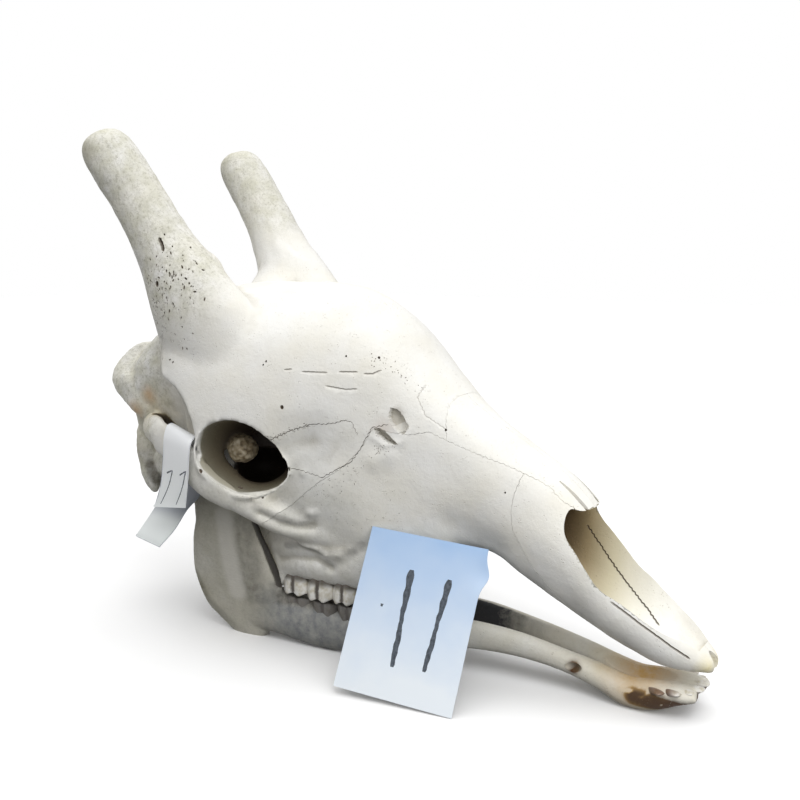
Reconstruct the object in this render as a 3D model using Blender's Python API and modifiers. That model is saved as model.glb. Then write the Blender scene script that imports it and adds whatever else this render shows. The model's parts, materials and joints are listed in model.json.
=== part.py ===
"""Giraffe skull, life size: cranium with two ossicones, face bones, lower jaws and two paper tags.

All sizes are in millimetres while the shapes are made, and each finished node is scaled to metres.
X is across the skull (its left side is +X), the snout points to -Y and Z is up from the floor.
Y starts at the front tip of the upper jaw and grows to the rear until everything is centred at the end.
"""

import math
import random

import bmesh
import bpy
import numpy as np
from mathutils import Euler, Matrix, Vector

MM_TO_M = 0.001
PARTING = 0.3            # gap between neighbouring bones
SEED = 11                # start of the small differences between the teeth

CORE_VOXEL = 4.2         # grid that melts the masses of the cranium into one skin
CORE_SOFTENING = 3
CORE_FACES = 6420
JAW_VOXEL = 3.2
JAW_SOFTENING = 2
JAW_FACES = 1240

# Upper skull, front to rear: y, top, shoulder x z, side x z, low x z, bottom.
FACE = (
    (2, 48, 8, 47, 12, 43, 8, 39, 38),
    (16, 60, 16, 59, 21, 50, 16, 41, 39.5),
    (40, 84, 26, 79, 32, 61, 22, 43, 41),
    (70, 110, 34, 100, 41, 76, 27, 54, 51),
    (98, 146, 37, 130, 46, 98, 31, 68, 65),
    (125, 176, 28, 166, 45, 128, 33, 83, 78),
    (160, 201, 31, 188, 45, 147, 34, 101, 97),
    (195, 222, 35, 206, 47, 165, 35, 119, 115),
    (230, 244, 40, 229, 52, 182, 42, 122, 120),
    (260, 272, 47, 253, 61, 196, 50, 112, 112),
    (300, 315, 58, 286, 74, 208, 64, 110, 108),
    (340, 340, 70, 300, 91, 212, 71, 114, 108),
    (380, 347, 82, 304, 107, 212, 80, 131, 112),
    (420, 347, 90, 304, 117, 208, 82, 142, 122),
    (460, 347, 96, 304, 120, 206, 78, 158, 134),
    (495, 343, 96, 306, 113, 232, 62, 170, 142),
    (522, 332, 86, 302, 98, 248, 50, 184, 150),
)

# Braincase: same columns.
BRAINCASE = (
    (430, 300, 44, 280, 55, 225, 40, 165, 150),
    (480, 338, 50, 316, 62, 250, 44, 178, 150),
    (530, 332, 54, 309, 66, 246, 46, 176, 150),
    (570, 308, 56, 286, 68, 236, 44, 170, 152),
    (600, 283, 52, 262, 62, 222, 40, 166, 152),
    (614, 256, 36, 242, 42, 214, 30, 176, 160),
)

# Ossicone axis from inside the skull to the centre of its rounded tip: x, y, z, half width, half depth.
OSSICONE = (
    (74, 436, 258, 30, 44),
    (79, 470, 296, 35, 54),
    (84, 497, 342, 34, 42),
    (87, 517, 376, 29.5, 31),
    (89.5, 534, 404, 27, 27.5),
    (91.5, 552, 431, 26, 26.5),
    (94, 574, 460, 26, 26),
    (95.2, 586, 477, 24.5, 24.5),
    (96.2, 593, 489, 19, 19),
    (96.8, 597, 495.5, 10, 10),
)
OSSICONE_CUT_STATION = 2
LEFT_HORN_DROP = (0, -6, -6.5)      # the left horn is a little shorter and slimmer at its tip
LEFT_HORN_SLIMNESS = 0.93

# Eye socket: rim ellipse seen from the side and how far it faces forward.
ORBIT_CENTRE = (113, 406, 193)
ORBIT_HALF = (44, 34.5)
ORBIT_TURN = math.radians(12)
ORBIT_TILT = math.radians(18)
ORBIT_DEPTH = 62
ORBIT_RIM = 5.5
RING_SLIMNESS = 0.14     # thickness of the unstretched ring next to its radius

# Space inside the arch for the upper end of the lower jaw: x, y, z, half thickness, half depth.
JAW_SPACE = (
    (78, 476, 104, 15, 56),
    (78, 478, 150, 15, 54),
    (79, 483, 178, 12, 37),
    (79, 487, 212, 9, 24),
    (79, 488, 226, 6, 14),
)

# Hollow above the cheek arch, where the jaw muscle lay.
TEMPORAL_FOSSA_CENTRE = (128, 522, 203)
TEMPORAL_FOSSA_RADII = (60, 64, 62)

# Cheek arch behind the eye: x, y, z, half thickness, half height.
ARCH = (
    (112, 420, 150, 7, 11),
    (118, 445, 164, 5.5, 15),
    (113, 470, 177, 4.5, 17),
    (98, 508, 188, 5, 17),
    (87, 538, 196, 7, 16),
    (66, 566, 200, 12, 14),
)

# Cheekbone below the eye, rear to front, same columns.
JUGAL = (
    (113, 456, 168, 5, 12),
    (111, 428, 155, 8, 13),
    (101, 402, 142, 11, 13),
    (88, 378, 131, 12, 15),
    (74, 350, 123, 9, 14),
    (64, 318, 122, 6, 10),
    (56, 290, 126, 3, 5),
)

# Ridge round the back of the braincase, from the ear up to the middle, same columns.
CREST = (
    (58, 566, 198, 6, 10),
    (65, 594, 228, 5, 13),
    (64, 613, 246, 4.5, 14),
    (49, 612, 263, 4.5, 13),
    (24, 603, 273, 5, 12),
    (0, 600, 279, 5, 12),
)

# Thin plates under the skull base, then the base itself, same columns.
PTERYGOID = ((19, 424, 122, 4, 18), (21, 446, 120, 3.5, 21), (22, 474, 136, 4, 14))
SKULL_BASE = ((0, 424, 152, 18, 16), (0, 520, 158, 20, 14), (0, 606, 158, 20, 12))

# Rounded masses at the back of the head: name, centre, radii, lean in degrees.
REAR_LUMPS = (
    ("condyle", (21, 614, 166), (14, 15, 19), 0),
    ("paroccipital", (50, 592, 160), (9, 13, 38), -14),
    ("bulla", (44, 566, 158), (15, 20, 18), 0),
)

# Upper tooth bearing ridge: x, y, z, half thickness, half height.
ALVEOLAR = (
    (38, 232, 122, 6, 10),
    (44, 250, 108, 9, 24),
    (50, 272, 99, 12, 30),
    (56, 310, 97, 13, 30),
    (60, 350, 98, 13.5, 31),
    (61, 390, 98, 13, 31),
    (55.5, 403, 97, 8.5, 36),
    (53, 414, 98, 8, 38),
    (48, 438, 108, 7, 26),
)

# Front opening of the nose, same columns as FACE.
NOSE = (
    (14, 120, 20, 85, 12, 58, 7, 50, 49),
    (40, 140, 34, 104, 30, 75, 16, 57, 53),
    (70, 165, 45, 134, 41, 99, 22, 70, 63),
    (93, 190, 52, 164, 48, 121, 30, 82, 73),
    (103, 167, 46, 158, 47, 133, 30, 88, 78),
    (114, 162, 38, 160, 44, 146, 28, 94, 84),
    (130, 172, 24, 166, 36, 139, 26, 101, 93),
    (170, 188, 24, 178, 33, 150, 24, 120, 116),
    (205, 194, 14, 186, 18, 168, 14, 150, 146),
)

# Lower jaw body: x, y, z, half thickness, half height.
JAW_BODY = (
    (10, 16, 20, 12, 5),
    (12, 30, 18.5, 14.5, 8),
    (12.5, 50, 14, 15.5, 12.5),
    (13, 72, 12, 15, 12.8),
    (14, 92, 17.5, 13, 10.5),
    (16.5, 120, 25, 9.5, 9.5),
    (20, 180, 33.5, 8.5, 11.5),
    (27.5, 228, 34.5, 9, 13.7),
    (42, 293, 25, 11, 16),
    (51, 355, 21.5, 12, 22),
    (58, 410, 29.5, 11, 24),
    (62, 440, 34, 9, 26),
)

# Rising part of the lower jaw: x, y, z, half thickness, half depth.
JAW_RAMUS = (
    (57, 429, -1.5, 5, 10),
    (60, 443, 13, 8, 28),
    (64, 450, 32, 9, 47),
    (69.5, 455.5, 62, 8.5, 54.5),
    (74, 460, 92, 8, 48),
    (76, 464, 122, 7.5, 38),
    (77, 470, 142, 7, 35),
    (77, 482, 156, 6, 32),
)
JAW_CONDYLE = ((78, 508, 158), (20, 9, 9))
JAW_CORONOID = (
    (76, 460, 140, 6, 16),
    (78, 468, 170, 5, 13),
    (78, 479, 196, 4, 9),
    (77, 490, 210, 3, 4),
)

# Sutures seen from the side, as (y, z) points, and how far each cut reaches past the bone.
SUTURE_PREMAXILLA = (
    (165, 191.1), (169, 175), (170, 161), (168, 144), (160, 129), (151, 114), (137, 98), (118, 80), (104, 40),
)
SUTURE_NASAL = (
    (96, 150), (118, 163), (131, 171), (142, 180), (153, 186), (178, 196), (200, 203), (231, 215), (238, 244),
    (232, 290),
)
SUTURE_MAXILLA = (
    (229, 214.4), (246, 222), (262, 219), (293, 222), (303, 204), (318, 188), (340, 172), (366, 150), (392, 130),
    (412, 114), (426, 98), (434, 40),
)
CUT_REACH = 160
OSSICONE_CUT_RADIUS = 80

# Small windows in front of the eye: x, y, z, half length, half height, half depth.
VACUITY = ((64, 271, 231, 9, 7, 13), (67, 287, 216, 7, 6, 9))
VACUITY_SLANT = math.radians(35)

# Slits of the palate and beside the tips of the nasal bones: x, y, z, half width, half height.
# The notch between the tips of the upper jaw is given by its centre and radii.
FISSURE = ((6.5, 86, 72, 1.1, 30), (6.5, 66, 62, 1.3, 30), (5.5, 50, 56, 1.1, 30))
TIP_NOTCH = ((0, -4, 46), (7, 19, 16))
NASAL_NOTCH = ((13, 104, 168, 2.6, 14), (14.5, 122, 174, 2.2, 14), (15.5, 139, 184, 0.8, 12))

# Trough behind the front teeth and nerve hole of the lower jaw: centre, radii.
SYMPHYSIS_HOLLOW = ((0, 68, 36), (17, 44, 17))
MENTAL_FORAMEN = ((24, 118, 26), (5, 8, 4))
SYMPHYSIS_END = 130

# Cheek teeth from front to rear: length, width, lobes.
CHEEK_TEETH = ((18, 15, 1), (20, 17, 1), (21, 19, 1), (25, 21, 2), (28, 22, 2), (29, 21, 2))
TOOTH_ROW_START = 260
UPPER_ARCADE = ((255, 47), (300, 53), (350, 58), (405, 60))
LOWER_ARCADE = ((255, 38), (300, 45), (350, 51), (405, 56))
UPPER_GUM = 70
LOWER_GUM = 38
BITE = 50.5
BITE_GAP = 1.2
LOBE_REACH = 0.53        # half length of a lobe next to its step, so that lobes meet
CROWN_SQUARENESS = 0.8
TOOTH_VARIATION = 0.05
TOOTH_TWIST = math.radians(2.5)

# Front teeth of one lower jaw, middle outward: x, y, crown length, width, fan angle in degrees.
FRONT_TEETH = ((5.6, 27, 17, 10.2, 3), (14.5, 31, 16, 9.4, 13), (21.4, 39, 15, 8.6, 24), (24.6, 50, 14, 8, 36))
FRONT_TOOTH_HEIGHT = 22
FRONT_TOOTH_HALF_DEPTH = 3.4

# Middle of each bone or block, used to tell the cut pieces apart.
CRANIUM_MIDDLE = (0, 470, 230)
MAXILLA_MIDDLE = (0, 280, 130)
NASAL_MIDDLE = (0, 190, 210)
PREMAXILLA_MIDDLE = (0, 90, 96)
OSSICONE_MIDDLE = (90, 542, 416)

# Paper tags. The card stands on the floor; the strip is folded over the arch behind the right eye.
PAPER = 0.7
CARD_WIDTH = 110
CARD_HEIGHT = 141
CARD_CORNER = (-118, 185, 0.4)
CARD_ALONG = (-0.117, 0.99, 0.072)
CARD_UP = (0.43, -0.007, 0.903)
# Strip from the end of its long inner leaf over the arch to the end of its short outer leaf:
# front edge x, y, z, then rear edge x, y, z.
FOLD_EDGES = (
    ((-112, 517, 90), (-102, 560, 92)),
    ((-106, 502, 108), (-95, 552, 107)),
    ((-101, 489, 129), (-90, 541, 124)),
    ((-99, 472, 148), (-87, 522, 148)),
    ((-100, 473, 170), (-86, 513, 182)),
    ((-100.5, 473, 187), (-87, 512, 203)),
    ((-106, 469, 203), (-94, 510, 211)),
    ((-114, 465, 204), (-102, 509, 211)),
    ((-120.5, 464, 198), (-107.5, 508, 204)),
    ((-124, 463, 184), (-111, 507, 192)),
    ((-126, 463, 160), (-114, 509, 158)),
    ((-126, 466, 140), (-117, 516, 132)),
)

COLOURS = {
    "cranium": ((0.80, 0.78, 0.72), 0.6),
    "maxilla": ((0.80, 0.78, 0.73), 0.6),
    "nasal": ((0.82, 0.80, 0.75), 0.6),
    "premaxilla": ((0.82, 0.79, 0.73), 0.6),
    "ossicone": ((0.72, 0.70, 0.60), 0.65),
    "mandible": ((0.76, 0.72, 0.64), 0.6),
    "tag": ((0.80, 0.87, 0.95), 0.7),
}


def flow(keys, at):
    """Smooth curve through (place, value) keys, read at one place or an array of them."""
    place = np.array([k[0] for k in keys], float)
    value = np.array([k[1] for k in keys], float)
    slope = np.gradient(value, place)
    at = np.clip(np.asarray(at, float), place[0], place[-1])
    i = np.clip(np.searchsorted(place, at, side="right") - 1, 0, len(place) - 2)
    h = place[i + 1] - place[i]
    t = (at - place[i]) / h
    a = value[i] * (2 * t**3 - 3 * t**2 + 1) + value[i + 1] * (3 * t**2 - 2 * t**3)
    return a + h * (slope[i] * (t**3 - 2 * t**2 + t) + slope[i + 1] * (t**3 - t**2))


def to_object(name, bm):
    """Closed mesh object from a bmesh, with its faces turned outward."""
    bmesh.ops.recalc_face_normals(bm, faces=bm.faces)
    if bm.calc_volume(signed=True) < 0:
        bmesh.ops.reverse_faces(bm, faces=bm.faces)
    mesh = bpy.data.meshes.new(name)
    bm.to_mesh(mesh)
    bm.free()
    obj = bpy.data.objects.new(name, mesh)
    bpy.context.scene.collection.objects.link(obj)
    return obj


def wrapped_sphere(name, around, along, place):
    """A sphere whose rings are laid on sections: place(ring share, angle) gives each point."""
    bm = bmesh.new()
    bmesh.ops.create_uvsphere(bm, u_segments=around, v_segments=along, radius=1)
    for v in bm.verts:
        ring = math.acos(max(-1.0, min(1.0, v.co.z))) / math.pi * along
        share = (ring - 1) / (along - 2)
        v.co = place(share, math.atan2(v.co.y, v.co.x))
    return to_object(name, bm)


def section_loft(name, rows, around=36, along=40):
    """Closed body through mirrored cross sections set across Y."""
    columns = [[(row[0], row[c]) for row in rows] for c in range(1, 9)]
    first, last = rows[0][0], rows[-1][0]

    def place(share, angle):
        y = first + (last - first) * min(1.0, max(0.0, share))
        top, sx, sz, mx, mz, lx, lz, low = (float(flow(c, y)) for c in columns)
        if share < 0 or share > 1:
            return Vector((0, y, (top + low) / 2))
        ring = [(0, top), (sx, sz), (mx, mz), (lx, lz), (0, low), (-lx, lz), (-mx, mz), (-sx, sz)]
        u = (angle / (2 * math.pi)) % 1.0 * 8
        k = int(u) % 8
        t = u - int(u)
        p = [np.array(ring[(k + d) % 8], float) for d in (-1, 0, 1, 2)]
        x, z = 0.5 * ((2 * p[1]) + (p[2] - p[0]) * t + (2 * p[0] - 5 * p[1] + 4 * p[2] - p[3]) * t**2
                      + (3 * p[1] - p[0] - 3 * p[2] + p[3]) * t**3)
        return Vector((x, y, z))

    return wrapped_sphere(name, around, along, place)


def sweep(name, rows, around=16, along=24, power=2.0):
    """Closed bar along a smooth line. Each row gives x, y, z, half size across X and half size upright."""
    points = np.array(rows, float)
    run = np.concatenate([[0], np.cumsum(np.linalg.norm(np.diff(points[:, :3], axis=0), axis=1))])
    keys = [list(zip(run, points[:, c])) for c in range(5)]

    def centre(s):
        return Vector([float(flow(keys[c], s)) for c in range(3)])

    def place(share, angle):
        s = run[-1] * min(1.0, max(0.0, share))
        here = centre(s)
        if share < 0 or share > 1:
            return here
        ahead = (centre(min(s + 1, run[-1])) - centre(max(s - 1, 0))).normalized()
        side = Vector((1, 0, 0)) - ahead * ahead.x
        side.normalize()
        rise = side.cross(ahead)
        c, d = math.cos(angle), math.sin(angle)
        across = math.copysign(abs(c) ** (2 / power), c) * float(flow(keys[3], s))
        upright = math.copysign(abs(d) ** (2 / power), d) * float(flow(keys[4], s))
        return here + side * across + rise * upright

    return wrapped_sphere(name, around, along, place)


def ellipsoid(name, centre, radii, turn=(0, 0, 0), around=24, along=16):
    """Closed body with three half sizes, turned about X, Y and Z."""
    bm = bmesh.new()
    bmesh.ops.create_uvsphere(bm, u_segments=around, v_segments=along, radius=1)
    grow = Matrix.Diagonal((*radii, 1))
    turned = Euler(turn).to_matrix().to_4x4()
    bmesh.ops.transform(bm, matrix=Matrix.Translation(centre) @ turned @ grow, verts=bm.verts)
    return to_object(name, bm)


def mirrored(obj):
    """Copy of an object on the other side of the middle plane."""
    bm = bmesh.new()
    bm.from_mesh(obj.data)
    bmesh.ops.scale(bm, vec=(-1, 1, 1), verts=bm.verts)
    return to_object(obj.name + "_other", bm)


def both(obj):
    return [obj, mirrored(obj)]


def flipped(obj):
    """The mirror image alone."""
    other = mirrored(obj)
    bpy.data.objects.remove(obj)
    return other


def joined(name, pieces):
    """One object that holds all pieces as they are."""
    bm = bmesh.new()
    for piece in pieces:
        bm.from_mesh(piece.data)
        bpy.data.objects.remove(piece)
    return to_object(name, bm)


def apply(obj, kind, **settings):
    """Add one modifier, set it and apply it."""
    modifier = obj.modifiers.new(kind.title(), kind)
    for key, value in settings.items():
        setattr(modifier, key, value)
    shape = bpy.data.meshes.new_from_object(obj.evaluated_get(bpy.context.evaluated_depsgraph_get()))
    obj.modifiers.remove(modifier)
    obj.data = shape
    return obj


def melted(obj, voxel, rounds, faces):
    """Fuse overlapping masses into one closed skin, soften it and thin its triangles."""
    apply(obj, "REMESH", mode="VOXEL", voxel_size=voxel)
    apply(obj, "SMOOTH", factor=0.5, iterations=rounds)
    apply(obj, "TRIANGULATE")
    share = min(1.0, faces / max(1, len(obj.data.polygons)))
    return apply(obj, "DECIMATE", ratio=share)


def boolean(obj, others, operation, solver="MANIFOLD"):
    """Join or cut an object with a collection of closed meshes, then remove those."""
    group = bpy.data.collections.new("operands")
    for other in others:
        group.objects.link(other)
    apply(obj, "BOOLEAN", operation=operation, operand_type="COLLECTION", collection=group, solver=solver)
    for other in list(others):
        bpy.data.objects.remove(other)
    bpy.data.collections.remove(group)
    return obj


def islands(obj):
    """Split a mesh object into its separate closed surfaces, largest first."""
    bm = bmesh.new()
    bm.from_mesh(obj.data)
    left = set(bm.verts)
    pieces = []
    while left:
        seed = left.pop()
        found, stack = {seed}, [seed]
        while stack:
            for edge in stack.pop().link_edges:
                for v in edge.verts:
                    if v in left:
                        left.discard(v)
                        found.add(v)
                        stack.append(v)
        pieces.append(found)
    pieces.sort(key=lambda verts: -len(verts))
    result = []
    for found in pieces:
        copy = bm.copy()
        copy.verts.ensure_lookup_table()
        keep = {v.index for v in found}
        bmesh.ops.delete(copy, geom=[v for v in copy.verts if v.index not in keep], context="VERTS")
        result.append(to_object(obj.name, copy))
    bm.free()
    bpy.data.objects.remove(obj)
    return result


def sheet(name, outline, half_width=CUT_REACH):
    """Thin wall across the skull that follows an outline of (y, z) points."""
    bm = bmesh.new()
    verts = [bm.verts.new((-half_width, y, z)) for y, z in outline]
    edges = [bm.edges.new(pair) for pair in zip(verts, verts[1:])]
    grown = bmesh.ops.extrude_edge_only(bm, edges=edges)["geom"]
    new = [g for g in grown if isinstance(g, bmesh.types.BMVert)]
    bmesh.ops.translate(bm, vec=(2 * half_width, 0, 0), verts=new)
    obj = to_object(name, bm)
    return apply(obj, "SOLIDIFY", thickness=PARTING, offset=0.0)


def block(name, low, high):
    """Plain box between two corners."""
    bm = bmesh.new()
    bmesh.ops.create_cube(bm, size=1)
    size = Vector(high) - Vector(low)
    middle = (Vector(high) + Vector(low)) / 2
    bmesh.ops.transform(bm, matrix=Matrix.Translation(middle) @ Matrix.Diagonal((*size, 1)), verts=bm.verts)
    return to_object(name, bm)


def orbit_rim(name):
    """Raised ring round the eye socket: a torus squeezed to the rim's ellipse and turned to face forward."""
    bpy.ops.mesh.primitive_torus_add(major_segments=32, minor_segments=10, major_radius=1,
                                     minor_radius=RING_SLIMNESS)
    ring = bpy.context.object
    ring.name = name
    long, high = (half + ORBIT_RIM for half in ORBIT_HALF)
    grow = Matrix.Diagonal((high, long, ORBIT_RIM / RING_SLIMNESS, 1))
    stand = Matrix.Rotation(math.radians(90), 4, "Y")
    turn = Matrix.Rotation(-ORBIT_TURN, 4, "Z") @ Matrix.Rotation(ORBIT_TILT, 4, "X")
    ring.data.transform(Matrix.Translation(ORBIT_CENTRE) @ turn @ stand @ grow)
    return ring


def left_horn():
    """Rows of the left horn: equal to the right one at its base, then bit by bit shorter."""
    first = OSSICONE_CUT_STATION + 1
    rows = []
    for k, (x, y, z, wide, deep) in enumerate(OSSICONE):
        share = max(0, k - first) / (len(OSSICONE) - 1 - first)
        slim = 1 - (1 - LEFT_HORN_SLIMNESS) * share
        down = [share * drop for drop in LEFT_HORN_DROP]
        rows.append((x + down[0], y + down[1], z + down[2], wide * slim, deep * slim))
    return rows


def upper_skull():
    """Upper skull as one skin, before its bones are parted."""
    masses = [section_loft("face", FACE), section_loft("braincase", BRAINCASE), sweep("skull_base", SKULL_BASE)]
    masses += [flipped(sweep("horn", OSSICONE)), sweep("horn", left_horn())]
    masses += both(sweep("alveolar", ALVEOLAR))
    core = apply(joined("skull", masses), "REMESH", mode="VOXEL", voxel_size=CORE_VOXEL)
    facing = (ORBIT_TILT, 0, -ORBIT_TURN)
    boolean(core, both(ellipsoid("orbit", ORBIT_CENTRE, (ORBIT_DEPTH, *ORBIT_HALF), facing)), "DIFFERENCE")
    boolean(core, both(ellipsoid("fossa", TEMPORAL_FOSSA_CENTRE, TEMPORAL_FOSSA_RADII)), "DIFFERENCE")
    boolean(core, both(sweep("jaw_space", JAW_SPACE)), "DIFFERENCE")
    masses = [core] + both(orbit_rim("rim"))
    for name, rows in (("arch", ARCH), ("jugal", JUGAL), ("crest", CREST), ("pterygoid", PTERYGOID)):
        masses += both(sweep(name, rows))
    for name, centre, radii, lean in REAR_LUMPS:
        masses += both(ellipsoid(name, centre, radii, (math.radians(lean), 0, 0)))
    skull = melted(joined("skull", masses), CORE_VOXEL, CORE_SOFTENING, CORE_FACES)
    return boolean(skull, face_cutters(), "DIFFERENCE")


def face_cutters():
    """Closed bodies of the nose opening, the small windows of the face and the slits of the snout."""
    cuts = [section_loft("nose", NOSE, 16, 16)]
    for x, y, z, half_y, half_z, deep in VACUITY:
        cuts += both(ellipsoid("window", (x, y, z), (deep, half_y, half_z), (VACUITY_SLANT, 0, 0), 10, 6))
    for name, rows in (("fissure", FISSURE), ("notch", NASAL_NOTCH)):
        cuts += both(sweep(name, rows, 8, 8))
    cuts.append(ellipsoid("tip_notch", *TIP_NOTCH, (0, 0, 0), 16, 10))
    return cuts


def ossicone_cuts():
    """Thin discs across both ossicones, a little above the roof of the skull."""
    low, high = (Vector(OSSICONE[OSSICONE_CUT_STATION + k][:3]) for k in (0, 1))
    axis = (high - low).normalized()
    bm = bmesh.new()
    bmesh.ops.create_cone(bm, cap_ends=True, segments=32, radius1=OSSICONE_CUT_RADIUS,
                          radius2=OSSICONE_CUT_RADIUS, depth=PARTING)
    turn = Vector((0, 0, 1)).rotation_difference(axis).to_matrix().to_4x4()
    bmesh.ops.transform(bm, matrix=Matrix.Translation((low + high) / 2) @ turn, verts=bm.verts)
    return both(to_object("ossicone_cut", bm))


def sided(pieces, name):
    """Names a pair of mirrored pieces right (-X) and left (+X)."""
    return {name + ("_right" if centre_of(p).x < 0 else "_left"): p for p in pieces}


def centre_of(obj):
    return sum((v.co for v in obj.data.vertices), Vector()) / len(obj.data.vertices)


def halves(obj, name):
    """Split a piece along the middle plane."""
    middle = block("middle", (-PARTING / 2, -20, -20), (PARTING / 2, 700, 400))
    return sided(largest(boolean(obj, [middle], "DIFFERENCE"), 2), name)


def largest(obj, count=1):
    """The biggest closed surfaces of an object; loose scraps are dropped."""
    pieces = islands(obj)
    for scrap in pieces[count:]:
        bpy.data.objects.remove(scrap)
    return pieces[:count]


def upper_bones(chance):
    """The skull parted at its sutures: cranium, ossicones, maxillae, nasals and premaxillae."""
    skull = upper_skull()
    sheets = [sheet("suture", line) for line in (SUTURE_PREMAXILLA, SUTURE_NASAL, SUTURE_MAXILLA)]
    pieces = islands(boolean(skull, sheets + ossicone_cuts(), "DIFFERENCE"))
    bones = {"cranium": nearest(pieces, CRANIUM_MIDDLE)}
    bones.update(halves(nearest(pieces, MAXILLA_MIDDLE), "maxilla"))
    bones.update(halves(nearest(pieces, NASAL_MIDDLE), "nasal"))
    bones.update(halves(nearest(pieces, PREMAXILLA_MIDDLE), "premaxilla"))
    bones["ossicone_right"] = nearest(pieces, (-OSSICONE_MIDDLE[0], *OSSICONE_MIDDLE[1:]))
    bones["ossicone_left"] = nearest(pieces, OSSICONE_MIDDLE)
    for scrap in pieces:
        bpy.data.objects.remove(scrap)
    for side, way in (("right", -1), ("left", 1)):
        teeth = cheek_teeth(UPPER_ARCADE, way, BITE + BITE_GAP / 2, UPPER_GUM, chance)
        bones["maxilla_" + side] = largest(boolean(bones["maxilla_" + side], teeth, "UNION"))[0]
    return bones


def nearest(pieces, middle):
    """Takes from a list the piece whose centre is closest to a point."""
    best = min(pieces, key=lambda p: (centre_of(p) - Vector(middle)).length)
    pieces.remove(best)
    return best


def tooth(name, centre, radii, turn):
    """A squarish crown that swells above its root, with a blunt point."""
    crown = ellipsoid(name, (0, 0, 0), radii, (0, 0, 0), 8, 5)
    for v in crown.data.vertices:
        v.co.x = math.copysign(abs(v.co.x / radii[0]) ** CROWN_SQUARENESS * radii[0], v.co.x)
        v.co.y = math.copysign(abs(v.co.y / radii[1]) ** CROWN_SQUARENESS * radii[1], v.co.y)
    crown.data.transform(Matrix.Translation(centre) @ Matrix.Rotation(turn, 4, "Z"))
    return crown


def cheek_teeth(arcade, way, bite, gum, chance):
    """Premolars and molars of one side, lobe by lobe, with their roots in the gum line."""
    crowns = []
    y = TOOTH_ROW_START
    for length, width, lobes in CHEEK_TEETH:
        step = length / lobes
        for lobe in range(lobes):
            middle = y + step * (lobe + 0.5)
            x = float(flow(arcade, middle))
            lean = math.atan(float(flow(arcade, middle + 1)) - x)
            wide = width / 2 * chance.uniform(1 - TOOTH_VARIATION, 1 + TOOTH_VARIATION)
            high = abs(gum - bite) * chance.uniform(1 - TOOTH_VARIATION, 1)
            twist = chance.uniform(-TOOTH_TWIST, TOOTH_TWIST)
            crowns.append(tooth("tooth", (way * x, middle, gum), (wide, step * LOBE_REACH, high), twist - way * lean))
        y += length
    return crowns


def front_teeth(chance):
    """Incisors and canine of one lower jaw, laid forward like a spread fan."""
    crowns = []
    for x, y, length, width, fan in FRONT_TEETH:
        long = length * chance.uniform(1 - TOOTH_VARIATION, 1 + TOOTH_VARIATION)
        turn = math.radians(fan) + chance.uniform(-TOOTH_TWIST, TOOTH_TWIST)
        crown = ellipsoid("front_tooth", (0, -long * 0.2, 0), (width / 2, long * 0.75, FRONT_TOOTH_HALF_DEPTH),
                          (0, 0, 0), 8, 6)
        crown.data.transform(Matrix.Translation((x, y, FRONT_TOOTH_HEIGHT)) @ Matrix.Rotation(turn, 4, "Z"))
        crowns.append(crown)
    return crowns


def lower_jaw(chance):
    """Left half of the lower jaw with its teeth, cut flat where it meets the other half."""
    masses = [sweep("body", JAW_BODY, 18, 30, 2.2), sweep("ramus", JAW_RAMUS, 20, 20, 2.3)]
    masses += [sweep("coronoid", JAW_CORONOID, 12, 12), ellipsoid("condyle", *JAW_CONDYLE)]
    jaw = melted(joined("mandible", masses), JAW_VOXEL, JAW_SOFTENING, JAW_FACES)
    cuts = [block("inner", (-60, -20, -20), (PARTING / 2, SYMPHYSIS_END, 120))]
    cuts.append(block("below", (-200, -50, -30), (200, 700, 0)))
    cuts.append(ellipsoid("hollow", *SYMPHYSIS_HOLLOW))
    cuts.append(ellipsoid("foramen", *MENTAL_FORAMEN, (0, 0, 0), 8, 6))
    boolean(jaw, cuts, "DIFFERENCE")
    boolean(jaw, cheek_teeth(LOWER_ARCADE, 1, BITE - BITE_GAP / 2, LOWER_GUM, chance), "UNION")
    boolean(jaw, front_teeth(chance), "UNION")
    return largest(jaw)[0]


def card_tag():
    """Stiff paper card that stands on the floor by its front corner and leans on the cheek."""
    card = block("card", (0, -PAPER / 2, 0), (CARD_WIDTH, PAPER / 2, CARD_HEIGHT))
    up = Vector(CARD_UP).normalized()
    along = Vector(CARD_ALONG)
    along = (along - up * along.dot(up)).normalized()
    frame = Matrix((along, up.cross(along), up)).transposed().to_4x4()
    card.data.transform(Matrix.Translation(CARD_CORNER) @ frame)
    return card


def folded_tag():
    """Paper strip folded over the cheek arch: a short leaf outside and a longer one behind it."""
    bm = bmesh.new()
    pairs = [[bm.verts.new(point) for point in edge] for edge in FOLD_EDGES]
    for (front, rear), (next_front, next_rear) in zip(pairs, pairs[1:]):
        bm.faces.new((front, rear, next_rear, next_front))
    bmesh.ops.triangulate(bm, faces=bm.faces)
    return apply(to_object("strip", bm), "SOLIDIFY", thickness=PAPER, offset=0.0, use_even_offset=True)


def material(name, colour, roughness):
    """Plain surface with a colour given as red, green and blue."""
    made = bpy.data.materials.new(name)
    made.use_nodes = True
    shader = made.node_tree.nodes["Principled BSDF"]
    shader.inputs["Base Color"].default_value = (*colour, 1)
    shader.inputs["Roughness"].default_value = roughness
    shader.inputs["Metallic"].default_value = 0
    return made


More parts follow.
